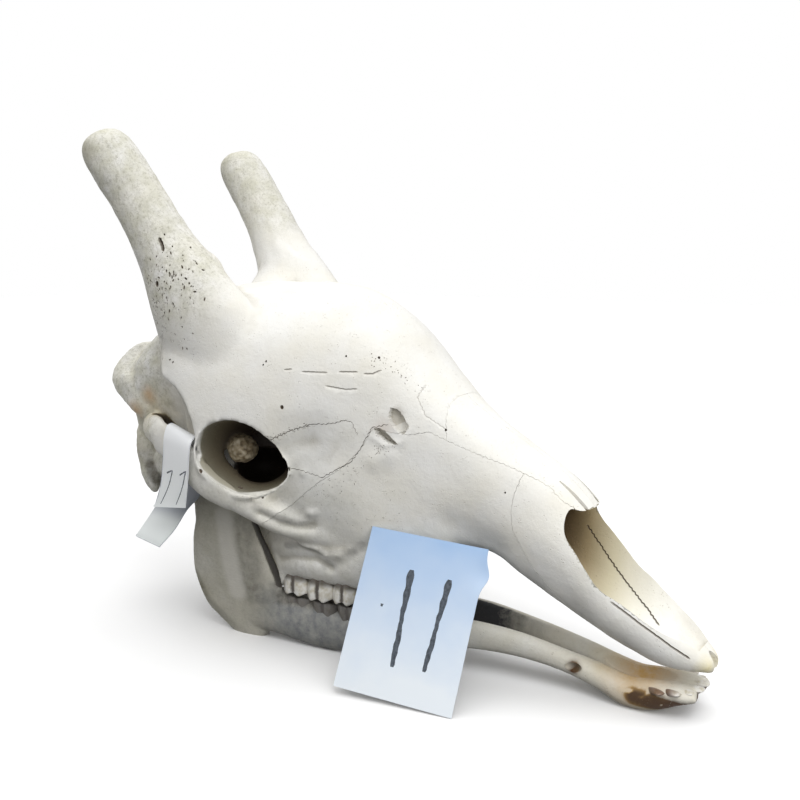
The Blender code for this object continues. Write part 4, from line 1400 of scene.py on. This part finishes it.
# %% Adding nodes
def node(tree, kind, inputs=None, **settings):
    """Adds a node. inputs maps a socket to a value or to another node's output socket."""
    made = tree.nodes.new(kind)
    for key, value in settings.items():
        setattr(made, key, value)
    for key, value in (inputs or {}).items():
        if isinstance(value, bpy.types.NodeSocket):
            tree.links.new(value, made.inputs[key])
        else:
            made.inputs[key].default_value = value
    return made


def rgba(hex_colour):
    return (*linear(hex_colour), 1)


def per_mm(size):
    """Scale of a pattern whose features are a number of millimetres wide."""
    return 1000 / size


def mixed(tree, share, a, b):
    """Mix of two colours or colour sockets."""
    made = node(tree, "ShaderNodeMix", data_type="RGBA")
    for socket, value in zip((made.inputs[0], made.inputs[6], made.inputs[7]), (share, a, b)):
        if isinstance(value, bpy.types.NodeSocket):
            tree.links.new(value, socket)
        else:
            socket.default_value = value
    return made.outputs[2]


def ramp(tree, value, low, high, to_low=0.0, to_high=1.0):
    made = node(tree, "ShaderNodeMapRange", {0: value, 1: low, 2: high, 3: to_low, 4: to_high})
    return made.outputs[0]


def maths(tree, operation, a, b=0.0):
    return node(tree, "ShaderNodeMath", {0: a, 1: b}, operation=operation).outputs[0]


def attribute(tree, name, socket="Fac"):
    return node(tree, "ShaderNodeAttribute", attribute_name=name).outputs[socket]


def clouds(tree, place, size, detail, roughness=0.5):
    """Noise whose lumps are a number of millimetres wide."""
    settings = {"Vector": place, "Scale": per_mm(size), "Detail": detail, "Roughness": roughness}
    return node(tree, "ShaderNodeTexNoise", settings).outputs[0]


def matter(name):
    """New material with its nodes, its shader and the place on the object."""
    made = bpy.data.materials.new(name)
    made.use_nodes = True
    tree = made.node_tree
    return made, tree, tree.nodes["Principled BSDF"], node(tree, "ShaderNodeTexCoord").outputs["Object"]


def bumped(tree, shader, height, strength, distance):
    bump = node(tree, "ShaderNodeBump", {"Height": height, "Strength": strength, "Distance": distance})
    tree.links.new(bump.outputs[0], shader.inputs["Normal"])


# %% [markdown]
# Bone that has been boiled and bleached is a matt, slightly chalky ceramic. It is not one white: it is
# creamier where fat stayed in it, and it has pores of about a millimetre where vessels went in. Its hollows
# are greyed as painted shade. It shines only a little, so its roughness is one half or more.

# %% Bleached bone
def bone(name, pale, warm, crack, grain, stretch, pore_mm=2.2, pore_depth=0.25, rough=0.58):
    made, tree, shader, place = matter(name)
    blotch = clouds(tree, place, 9, 5.0, 0.65)
    tint = mixed(tree, ramp(tree, clouds(tree, place, 45, 4.0), 0.35, 0.72), rgba(pale), rgba(warm))
    # painted shade: grey in the hollows of the surface
    tint = mixed(tree, ramp(tree, attribute(tree, "hollow"), 0.05, 0.7, 0.0, 0.55), tint, rgba("#b9b3a4"))
    mottle = attribute(tree, "mottle")
    patch = ramp(tree, clouds(tree, place, 13, 3.0), 0.3, 0.7)
    tint = mixed(tree, maths(tree, "MULTIPLY", patch, mottle), tint, rgba("#d8d6c6"))
    fleck = ramp(tree, clouds(tree, place, 3.2, 4.0, 0.75), 0.48, 0.74, 0.0, 0.7)
    tint = mixed(tree, maths(tree, "MULTIPLY", fleck, mottle), tint, rgba("#9a9785"))
    stain_and_shade = maths(tree, "MULTIPLY", attribute(tree, "stain_and_shade"), ramp(tree, blotch, 0.3, 0.68, 0.62, 1.1))
    tint = mixed(tree, stain_and_shade, tint, attribute(tree, "stain_and_shade_colour", "Color"))
    pores = node(tree, "ShaderNodeTexVoronoi", {"Vector": place, "Scale": per_mm(pore_mm), "Randomness": 1.0})
    pore = ramp(tree, pores.outputs["Distance"], 0.12, 0.30, 1.0, 0.0)
    pore = maths(tree, "MULTIPLY", pore, ramp(tree, blotch, 0.52, 0.66))
    tint = mixed(tree, maths(tree, "MULTIPLY", pore, 0.35), tint, rgba("#8f8268"))
    tint = mixed(tree, attribute(tree, "crevice"), tint, rgba(crack))
    tree.links.new(tint, shader.inputs["Base Color"])
    fine = clouds(tree, place, 2.6, 6.0, 0.6)
    long_way = node(tree, "ShaderNodeMapping", {"Vector": place, "Scale": stretch}).outputs[0]
    fibre = maths(tree, "MULTIPLY", clouds(tree, long_way, 1.6, 3.0), maths(tree, "MULTIPLY", mottle, grain))
    height = maths(tree, "MULTIPLY", fine, 0.6)
    height = maths(tree, "SUBTRACT", height, maths(tree, "MULTIPLY", pore, pore_depth * 4))
    height = maths(tree, "ADD", height, fibre)
    height = maths(tree, "ADD", height, maths(tree, "MULTIPLY", blotch, 1.2))
    bumped(tree, shader, height, 0.6, 0.0008)
    tree.links.new(ramp(tree, fine, 0.3, 0.7, rough - 0.08, rough + 0.12), shader.inputs["Roughness"])
    shader.inputs["IOR"].default_value = 1.5
    shader.inputs["Specular IOR Level"].default_value = 0.4
    return made


BONE = bone("bleached_bone_boiled", "#f4f3ef", "#efece2", "#57493a", 1.2, (1, 0.5, 0.12))
# the jaw's bone is a little darker than the skull's: partly its own tone and partly painted shade
JAW = bone("jaw_bone_bleached", "#e6e4dc", "#dcd6c6", "#4a3420", 0.8, (1, 0.15, 1))

# %% [markdown]
# Tooth enamel is glassy and almost smooth. The crowns here are ivory white with brown stain at the necks,
# and their clefts are darkened with dirt and painted shade.

# %% Stained enamel
def enamel():
    made, tree, shader, place = matter("tooth_enamel_worn")
    cloud = clouds(tree, place, 5, 4.0)
    tint = mixed(tree, ramp(tree, cloud, 0.4, 0.7), rgba("#eceae4"), rgba("#c9c2ae"))
    # darker in the clefts: dirt and painted shade
    cleft_dirt_and_shade = maths(tree, "MULTIPLY", attribute(tree, "hollow"), ramp(tree, cloud, 0.3, 0.6, 0.7, 1.3))
    tint = mixed(tree, ramp(tree, cleft_dirt_and_shade, 0.12, 0.75), tint, rgba("#3a3024"))
    tint = mixed(tree, attribute(tree, "stain_and_shade"), tint, attribute(tree, "stain_and_shade_colour", "Color"))
    tree.links.new(tint, shader.inputs["Base Color"])
    bumped(tree, shader, clouds(tree, place, 1.5, 3.0), 0.35, 0.0004)
    shader.inputs["Roughness"].default_value = 0.33
    shader.inputs["IOR"].default_value = 1.6
    return made


ENAMEL = enamel()

# %% [markdown]
# The tags are coated paper. The card fades from sky blue at the top to near white at the bottom, which is
# painted shade of the skull above, and the strip is plain white, with painted shade on its inner leaf and
# edges. The strokes are dark marker, which dries a little uneven.

# %% Paper and marker
def paper(name, top, bottom, low, high):
    """Coated paper whose colour fades between two heights in millimetres."""
    made, tree, shader, place = matter(name)
    height = node(tree, "ShaderNodeSeparateXYZ", {"Vector": place}).outputs[2]
    waver = ramp(tree, clouds(tree, place, 30, 2.0), 0.3, 0.7, -0.008, 0.008)
    height = maths(tree, "ADD", height, waver)
    tint = mixed(tree, ramp(tree, height, low * MM, high * MM), rgba(bottom), rgba(top))
    tint = mixed(tree, attribute(tree, "stain_and_shade"), tint, attribute(tree, "stain_and_shade_colour", "Color"))
    tree.links.new(tint, shader.inputs["Base Color"])
    bumped(tree, shader, clouds(tree, place, 1.2, 4.0), 0.12, 0.0003)
    shader.inputs["Roughness"].default_value = 0.42
    return made


def marker():
    """Dried marker: dark grey, a little uneven."""
    made, tree, shader, place = matter("marker_ink_dried")
    uneven_ink = ramp(tree, clouds(tree, place, 2.5, 4.0), 0.35, 0.65)
    tint = mixed(tree, uneven_ink, rgba("#3a4048"), rgba("#5a626c"))
    tree.links.new(tint, shader.inputs["Base Color"])
    shader.inputs["Roughness"].default_value = 0.5
    return made


# the card's fade from sky blue at the top to near white at the bottom is painted shade of the skull above
CARD = paper("card_coated_paper_with_painted_shade", "#a9c8ee", "#eef5fb", 15, 135)
STRIP = paper("strip_coated_paper_white", "#f6f8fa", "#f2f7f6", 100, 200)
INK = marker()

# %% [markdown]
# ## Stains, painted shade and finishing
#
# Each mark is a soft round patch with a place, a size and a colour: the olive caps of the horns, the
# ochre of the brain case and the tan of the jaw tip, with grey patches of painted shade on the cheeks, under
# the snout and on the jaw's body, whose grey is partly its own.

# %% Stain and painted shade marks
HORN_MARKS = (
    (-96, 592, 486, 34, "#d4d1b6", 0.6),
    (-94, 570, 455, 38, "#dedccb", 0.4),
    (-108, 588, 470, 17, "#8d8468", 0.6),
    (-88, 540, 415, 45, "#dedccb", 0.3),
)
CRANIUM_MARKS = (
    (-68, 570, 231, 12, "#d8a86e", 0.6),
    (-66, 590, 214, 13, "#dba56a", 0.5),
    (-68, 560, 215, 30, "#cbbd98", 0.5),
    (-62, 596, 196, 26, "#cfc9a6", 0.5),
    (-50, 600, 165, 25, "#8f8770", 0.6),
    (-66, 284, 222, 13, "#b9a190", 0.45),
    # painted shade in the top of the front window
    (-63, 272, 238, 7, "#5f503c", 0.8),
    # painted shade in the temporal hollow behind the eye socket
    (-80, 500, 205, 30, "#a8a08a", 0.6),
    # the last two rows are grey patches of painted shade under and behind the eye socket
    (-95, 360, 195, 38, "#b4b4ae", 0.5),
    (-112, 440, 160, 40, "#b0aea4", 0.5),
)
# grey patches of painted shade on the cheek, behind the tooth row and under the snout
MAXILLA_SHADE_MARKS = (
    (-90, 330, 150, 45, "#bebeb8", 0.45),
    (-95, 375, 140, 30, "#a9a9a2", 0.45),
    (-60, 410, 100, 25, "#a8a296", 0.5),
    (-42, 150, 98, 26, "#a3a3a0", 0.4),
    (-46, 205, 112, 30, "#9c9c99", 0.5),
)
PREMAXILLA_MARKS = (
    (-12, 10, 45, 12, "#e2d28c", 0.7),
    # the next two grey rows are painted shade on the side of the premaxilla
    (-38, 70, 62, 22, "#b5b5b4", 0.35),
    (-38, 110, 82, 22, "#adadac", 0.35),
)
JAW_MARKS = (
    (-8, 66, 24, 34, "#cfa96c", 1.0),
    (-16, 100, 30, 20, "#d3c4a0", 0.5),
    (-24, 118, 26, 8, "#55361c", 1.0),
    # the next two grey rows on the body are partly the jaw's own grey and partly painted shade
    (-52, 350, 22, 55, "#8d8d89", 0.8),
    (-60, 402, 28, 45, "#8a8a85", 0.8),
    (-70, 455, 60, 60, "#a19d8c", 0.75),
    (-76, 465, 125, 50, "#a5a190", 0.75),
    (-70, 500, 40, 16, "#8a8160", 0.6),
)
MARKS = {"ossicone": HORN_MARKS, "cranium": CRANIUM_MARKS, "maxilla": MAXILLA_SHADE_MARKS,
         "premaxilla": PREMAXILLA_MARKS, "mandible": JAW_MARKS, "nasal": ()}
SURFACES = {"ossicone": (BONE, "horn_bone"), "mandible": (JAW, "jaw_bone")}


# %% [markdown]
# Other stains, and painted shade and highlights, follow lines and hollows of the shape. Their lines are
# points on the right side, and the left side gets the same ones. A key gives a colour at a depth or at a
# place along the skull.

# %% Lines and colours of the stains, the painted shade and the painted highlights
# olive grey at the rim of the eye socket, then painted shade that deepens to near black inside it
SOCKET_SHADE_KEYS = ((1, "#aaa594"), (8, "#85806f"), (26, "#665e4c"), (44, "#3c3228"), (60, "#261d15"))
KNOB_KEYS = ((-6, "#6d5d46"), (0, "#ac9c7f"), (6, "#ddd2ba"))
# walls of the nose, white at the front and brown at the rear: tan of the bone with painted shade that deepens
# into the cavity
NOSE_TONE_AND_SHADE_KEYS = (
    (45, "#f2f1ec"), (82, "#e9e6d9"), (106, "#c9c1a6"), (130, "#a08f6d"), (152, "#735f44"),
    (178, "#463828"),
)
# line of painted shade: the slot above the cheek arch
ARCH_SLOT = ((-72, 555, 213), (-63, 553, 207), (-57, 545, 198), (-51, 533, 185))
# line of painted shade along the front edge of the rising part
RAMUS_FRONT = ((-77, 430, 140), (-77, 423, 122), (-75, 410, 92), (-70, 400, 62))
FRONT_SOCKETS = ((-28, 64, 14), (-26, 46, 12), (-21, 30, 13), (-10, 18, 15), (0, 15, 16))
# line of painted shade: the coronoid, seen through the deep hole of the eye socket
CORONOID_LINE = ((-77, 440, 148), (-77, 462, 168), (-77, 480, 192), (-78, 490, 210))
# points, width in mm, strength, colour
# a pale line along the bar above the slot, and painted shade in the hollow by the bulla
REAR_LINES = (
    (((-64, 551, 219), (-61, 539, 212), (-68, 516, 204)), 4, 0.7, "#ebe6d8"),
    (((-57, 584, 154), (-52, 578, 138)), 9, 0.8, "#4d4638"),
)
# painted shade under the ridges of the cheek
CREASE_SHADES = (
    (((-109, 396, 146), (-97, 372, 135), (-83, 353, 129)), 5, 0.5, "#8c8a84"),
    (((-74, 388, 103), (-78, 370, 106), (-74, 338, 103), (-69, 314, 107)), 5, 0.6, "#8a8780"),
    (((-71, 346, 89), (-71, 323, 100), (-68, 306, 115)), 6, 0.4, "#8c8a84"),
)
# a band of painted shade and a band of painted highlight down the rising part of the jaw
RAMUS_SHADE_AND_HIGHLIGHT = (
    (((-82, 436, 118), (-78, 432, 84), (-72, 430, 52)), 20, 0.6, "#6f6c64"),
    (((-82, 458, 122), (-79, 455, 82), (-74, 450, 48)), 16, 0.8, "#dcd9d0"),
)
# painted highlight along the rear edge of the rising part, painted shade along the lower edge at the angle
JAW_EDGE_HIGHLIGHT_AND_SHADE = (
    (((-77, 504, 150), (-77, 502, 122), (-74, 508, 92), (-70, 510, 62)), 5, 0.6, "#e2e0d6"),
    (((-68, 506, 55), (-65, 496, 32), (-61, 470, 14), (-57, 448, 6)), 12, 0.75, "#66624f"),
)


# %% Stains and painted shade of the cranium and the jaws
def lined(under, co, lines):
    """Lays a table of stains, painted shade and painted highlights along lines over those already there."""
    for line, width, amount, tint in lines:
        under = covered(under, on_line(co, line, width) * amount, tint)
    return under


def between(value, start, low, high, end):
    """1 from low to high, fading to 0 at start and at end."""
    return soft(value, start, low) * (1 - soft(value, high, end))


def cranium_stains_and_shade(under, co, normal):
    """Painted shade deepening into the eye socket, its knob, painted shade in the slot above the cheek arch
    and on the surface behind the horn.
    """
    x, y, z = co.T
    depth, inside = in_socket(co)
    # painted shade that deepens into the eye socket
    under = covered(under, inside, by_keys(depth, SOCKET_SHADE_KEYS))
    knob = 1 - soft(away_from(co, (KNOB_CENTRE,)), 14, 18)
    under = covered(under, knob, by_keys(noise_at(co, 3.0, 8.0) * 12, KNOB_KEYS))
    # painted shade in the slot above the cheek arch
    slot = on_line(co, ARCH_SLOT, 6)
    under = lined(covered(under, slot * 0.9, "#33281c"), co, REAR_LINES)
    # painted shade on the surfaces behind the horn that face the rear
    behind = soft(normal[:, 1], 0.35, 0.7) * soft(np.abs(x), 92, 100) * soft(y, 474, 484)
    under = covered(under, behind * (1 - soft(z, 285, 305)) * 0.75, "#a3a092")
    return under, np.maximum.reduce([inside, knob, slot])


def jaw_stains_and_shade(under, co, normal):
    """Painted shade and highlight on the rising part, painted shade along the gums, sockets of the front
    teeth, painted shade on the body, the coronoid and the inner side of the far jaw.
    """
    x, y, z = co.T
    # painted shade along the front edge of the rising part
    front = on_line(co, RAMUS_FRONT, 5.5)
    under = covered(lined(under, co, RAMUS_SHADE_AND_HIGHLIGHT), front * 0.9, "#2f2b27")
    # painted shade along the gum line under the upper teeth
    gum_line_shade = between(z, 37, 43, 60, 66) * between(y, 250, 270, 400, 415)
    under = lined(covered(under, gum_line_shade * 0.8, "#47433d"), co, JAW_EDGE_HIGHLIGHT_AND_SHADE)
    ragged = on_line(co, FRONT_SOCKETS, 10) * soft(noise_at(co, 5, 2.0), -0.5, -0.1)
    under = covered(under, ragged * 0.95, "#46301d")
    # painted shade on the body below the teeth
    body = between(y, 235, 300, 392, 442) * (1 - soft(z, 40, 66)) * (1 - gum_line_shade)
    under = covered(under, body * 0.75, "#85888b")
    # painted shade on the coronoid, seen through the deep hole of the eye socket
    coronoid = on_line(co, CORONOID_LINE, 27) * soft(z, 138, 150)
    under = covered(under, coronoid, "#3a2d21")
    # painted shade on the inner side of the far jaw
    inner = between(y, 130, 240, 300, 330) * soft(x, 4, 10) * soft(-normal[:, 0], 0.0, 0.4)
    under = covered(under, inner * 0.9, "#3c3c3e")
    hole = on_line(co, (JAW_MARKS[2][:3],), 7)
    return under, np.maximum.reduce([ragged, hole, coronoid, 0.4 * inner, front])


# %% All stains and painted shade of a bone
def stained_and_shaded(kind, obj, co):
    """Strength and colour of every stain and painted shade of a bone. Those above 1 hide the blotches below
    them.
    """
    under = patches(co, MARKS[kind])
    normal = normals_of(obj)
    full = np.zeros(len(co))
    if kind == "cranium":
        under, full = cranium_stains_and_shade(under, co, normal)
    if kind in ("maxilla", "premaxilla", "nasal"):
        full = in_nose(co, normal)
        under = covered(under, full * soft(co[:, 1], 35, 70), by_keys(co[:, 1], NOSE_TONE_AND_SHADE_KEYS))
    # tone of the nose walls, with painted shade that deepens toward the rear
    if kind in ("maxilla", "cranium"):
        under = lined(under, co, CREASE_SHADES)
    if kind == "mandible":
        under, full = jaw_stains_and_shade(under, co, normal)
    return under[0] * (1 + 2 * full), under[1]


def mottled(kind, co):
    """How mottled the bone is: the near horn, the top of the far one, the brain case and the jaws."""
    x, y, z = co.T
    if kind == "mandible":
        return 0.25 + 0.35 * soft(y, 390, 430)
    near = soft(z, 285, 345) * soft(-x, 40, 60) * soft(y, 430, 470)
    far = soft(z, 385, 425) * soft(x, 30, 50)
    behind = soft(y, 532, 552) * (1 - soft(z, 290, 315))
    cheek = 0.3 * (1 - soft(z, 150, 190)) * soft(y, 290, 330)
    return np.clip(near + far + behind + cheek + 0.06, 0, 1)


# %% Finish the bones
def thinned(obj, limit):
    """Fewer triangles where the surface is flat, down to a limit."""
    obj.data.calc_loop_triangles()
    count = len(obj.data.loop_triangles)
    if count > limit:
        apply(obj, "TRIANGULATE")
        apply(obj, "DECIMATE", ratio=limit / count)
    return obj


for name, obj in BONES.items():
    kind = name.split("_")[0]
    thinned(obj, FACE_LIMIT)
    co = points_of(obj)
    crevice = np.zeros(len(co)) if kind == "mandible" else depth_below(obj, FULL_SKIN)
    stain_and_shade, colour = stained_and_shaded(kind, obj, co)
    remember(obj, crevice, np.clip(hollowness(obj, 8) / 1.2, -1, 1), stain_and_shade, colour, mottled(kind, co))
    surface, slot = SURFACES.get(kind, (BONE, "bone"))
    painted(obj, surface)
    shade(obj)
    settle(obj, name + "_bone")
    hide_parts(name)
    print(name, len(obj.data.polygons), "faces, stained share", round(float((stain_and_shade > 0.2).mean()), 2))

# %% Finish the teeth
for name, obj in TEETH.items():
    co = points_of(obj)
    if name.startswith("front"):
        tooth_stain_and_shade, tint = soft(co[:, 1], 22, 38) * 0.9, "#6b492a"
    elif name.startswith("upper"):
        tooth_stain_and_shade, tint = soft(co[:, 2], 64, 70) * 0.9, "#3f3426"
    # the lower row is dark all over: tartar and painted shade
    else:
        tooth_stain_and_shade, tint = np.full(len(co), 0.85), "#47403a"
    remember(obj, np.zeros(len(co)), np.clip(hollowness(obj, 2) / 0.5, -1, 1), tooth_stain_and_shade,
             np.tile(linear(tint), (len(co), 1)))
    painted(obj, ENAMEL)
    shade(obj, 60)
    settle(obj, name)

# %% Finish the tags
def stroke(name, place, start, end, half_width):
    """Ribbon of marker from one (along, across) point to another. place gives their spot in space."""
    bm = bmesh.new()
    bmesh.ops.create_grid(bm, x_segments=40, y_segments=2, size=0.5)
    start = Vector(start)
    end = Vector(end)
    way = (end - start).normalized()
    side = Vector((-way.y, way.x))
    for v in bm.verts:
        t = v.co.x + 0.5
        wobble = 1 + 0.5 * noise.noise(Vector((t * 14, v.co.y * 3, len(name))))
        ends = min(1.0, 10 * min(t, 1 - t) + 0.72) * (1.15 - 0.35 * t)
        p = start.lerp(end, t) + side * (v.co.y * 2 * half_width * wobble * ends)
        v.co = place(p.x, p.y)
    return apply(to_object(name, bm), "SOLIDIFY", thickness=0.08, offset=0.0)


INK_LIFT = PAPER / 2 + 0.05
STATION = 22             # mm of paper from one row of the folded strip to the next
WIDTH = 46               # mm of paper across the strip
CARD_STROKES = (
    ((63.7, 110.6), (61.2, 27.6), 2.5), ((27.7, 109.2), (32.2, 30.3), 2.3), ((83.5, 77), (83.5, 74.6), 1.1),
)
STRIP_STROKES = (
    ((9.72, 0.80), (9.6, 0.59), 0.5), ((9.6, 0.59), (10.95, 0.83), 0.65), ((9.65, 0.3), (9.43, 0.06), 0.5),
    ((9.45, 0.08), (10.95, 0.32), 0.65), ((10.97, 0.96), (10.97, 0.17), 0.7),
)
STROKES = []
for number, (top, foot, half) in enumerate(CARD_STROKES):
    ink = stroke("card_stroke_" + str(number + 1), lambda x, z: on_card(x, z, INK_LIFT), top, foot, half)
    STROKES.append((ink, "card"))
for number, (top, foot, half) in enumerate(STRIP_STROKES):
    top, foot = [(s * STATION, w * WIDTH) for s, w in (top, foot)]
    ink = stroke("strip_stroke_" + str(number + 1),
                 lambda s, w: above_strip(s / STATION, w / WIDTH, INK_LIFT), top, foot, half)
    STROKES.append((ink, "paper"))
for name, obj in TAGS.items():
    co = points_of(obj)
    shaded = np.zeros(len(co))
    if name == "tag_folded":
        # painted shade on the inner leaf of the strip, and below along the edges of the paper
        shaded = between(co[:, 2], 112, 130, 185, 197) * soft(co[:, 0], -112, -108) * 0.8
        rim = np.zeros(len(co))
        obj.data.attributes["rim"].data.foreach_get("value", rim)
        shaded = np.maximum(shaded, rim * 0.7)
    remember(obj, shaded * 0, shaded * 0, shaded, np.tile(linear("#868c9b"), (len(co), 1)))
    painted(obj, CARD if name == "tag_card" else STRIP)
    shade(obj, 30)
    settle(obj, name + "_sheet")
    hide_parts(name)
for obj, slot in STROKES:
    painted(obj, INK)
    settle(obj, obj.name)
print("tags", list(TAGS), "strokes", len(STROKES))

# %% [markdown]
# ## Floor, light and camera
#
# The skull lies in bright even light on a pale floor. The sky is bright above and dim below, so the upper
# sides are white and the undersides keep a quiet grey. One soft lamp stands above and in front, and a
# small one near the floor lifts the snout. The camera looks at the right side, a little from the front
# and from above.

# %% Floor
def floor():
    bm = bmesh.new()
    bmesh.ops.create_grid(bm, x_segments=1, y_segments=1, size=6)
    obj = to_object("floor", bm)
    made = bpy.data.materials.new("floor_matt_white")
    made.use_nodes = True
    shader = made.node_tree.nodes["Principled BSDF"]
    shader.inputs["Base Color"].default_value = rgba("#fdfdfd")
    shader.inputs["Roughness"].default_value = 0.9
    obj.data.materials.append(made)
    obj.visible_diffuse = False
    obj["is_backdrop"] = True
    return obj


floor()

# %% Light
def lamp(name, place, aim, size, power):
    light = bpy.data.lights.new(name, "AREA")
    light.size = size
    light.energy = power
    obj = linked(name, light)
    obj.location = place
    obj.rotation_euler = (Vector(aim) - Vector(place)).to_track_quat("-Z", "Y").to_euler()
    return obj


LOW_LIGHT = 0.08
HIGH_LIGHT = 1.7
LIGHT_FALL = 1.7


def studio():
    """Bright from above, dim from below, and plain white where the camera looks past the skull."""
    world = bpy.data.worlds.new("studio")
    world.use_nodes = True
    tree = world.node_tree
    way = node(tree, "ShaderNodeTexCoord").outputs["Generated"]
    up = node(tree, "ShaderNodeSeparateXYZ", {"Vector": way}).outputs[2]
    share = maths(tree, "POWER", ramp(tree, up, -0.3, 1.0), LIGHT_FALL)
    level = ramp(tree, share, 0.0, 1.0, LOW_LIGHT, HIGH_LIGHT)
    seen = node(tree, "ShaderNodeLightPath").outputs["Is Camera Ray"]
    strength = maths(tree, "MAXIMUM", level, seen)
    back = tree.nodes["Background"]
    back.inputs[0].default_value = (1, 1, 1, 1)
    tree.links.new(strength, back.inputs[1])
    bpy.context.scene.world = world


studio()
bpy.context.scene.view_settings.view_transform = "Standard"
lamp("above_front", (-1.2, -1.2, 2.2), (0, 0, 0.25), 1.2, 14)
lamp("low_front", (-0.55, -1.05, 0.35), (-0.04, -0.2, 0.11), 0.6, 2.6)

# %% Camera
TARGET = Vector((7, 313, 237))
AZIMUTH = math.radians(-57.9)
RISE = math.radians(8.7)
DISTANCE = 958
SENSOR = 36              # mm
LENS_PIXELS = 1007       # focal length in pixels of a picture that is 800 wide
PICTURE = 800
back = Vector((math.sin(AZIMUTH) * math.cos(RISE), -math.cos(AZIMUTH) * math.cos(RISE), math.sin(RISE)))
camera = bpy.data.cameras.new("camera")
camera.sensor_width = SENSOR
camera.lens = LENS_PIXELS * SENSOR / PICTURE
camera.clip_start = 0.01
eye = linked("camera", camera)
eye.location = (TARGET + back * DISTANCE + SHIFT) * MM
eye.rotation_euler = back.to_track_quat("Z", "Y").to_euler()
bpy.context.scene.camera = eye
print("camera at", tuple(round(v, 3) for v in eye.location))

VISUAL_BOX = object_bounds()
({"cad": [list(c) if hasattr(c, "__len__") else c for c in CAD_BOX],
           "visual": [list(c) if hasattr(c, "__len__") else c for c in VISUAL_BOX]})
print("visual box", VISUAL_BOX)
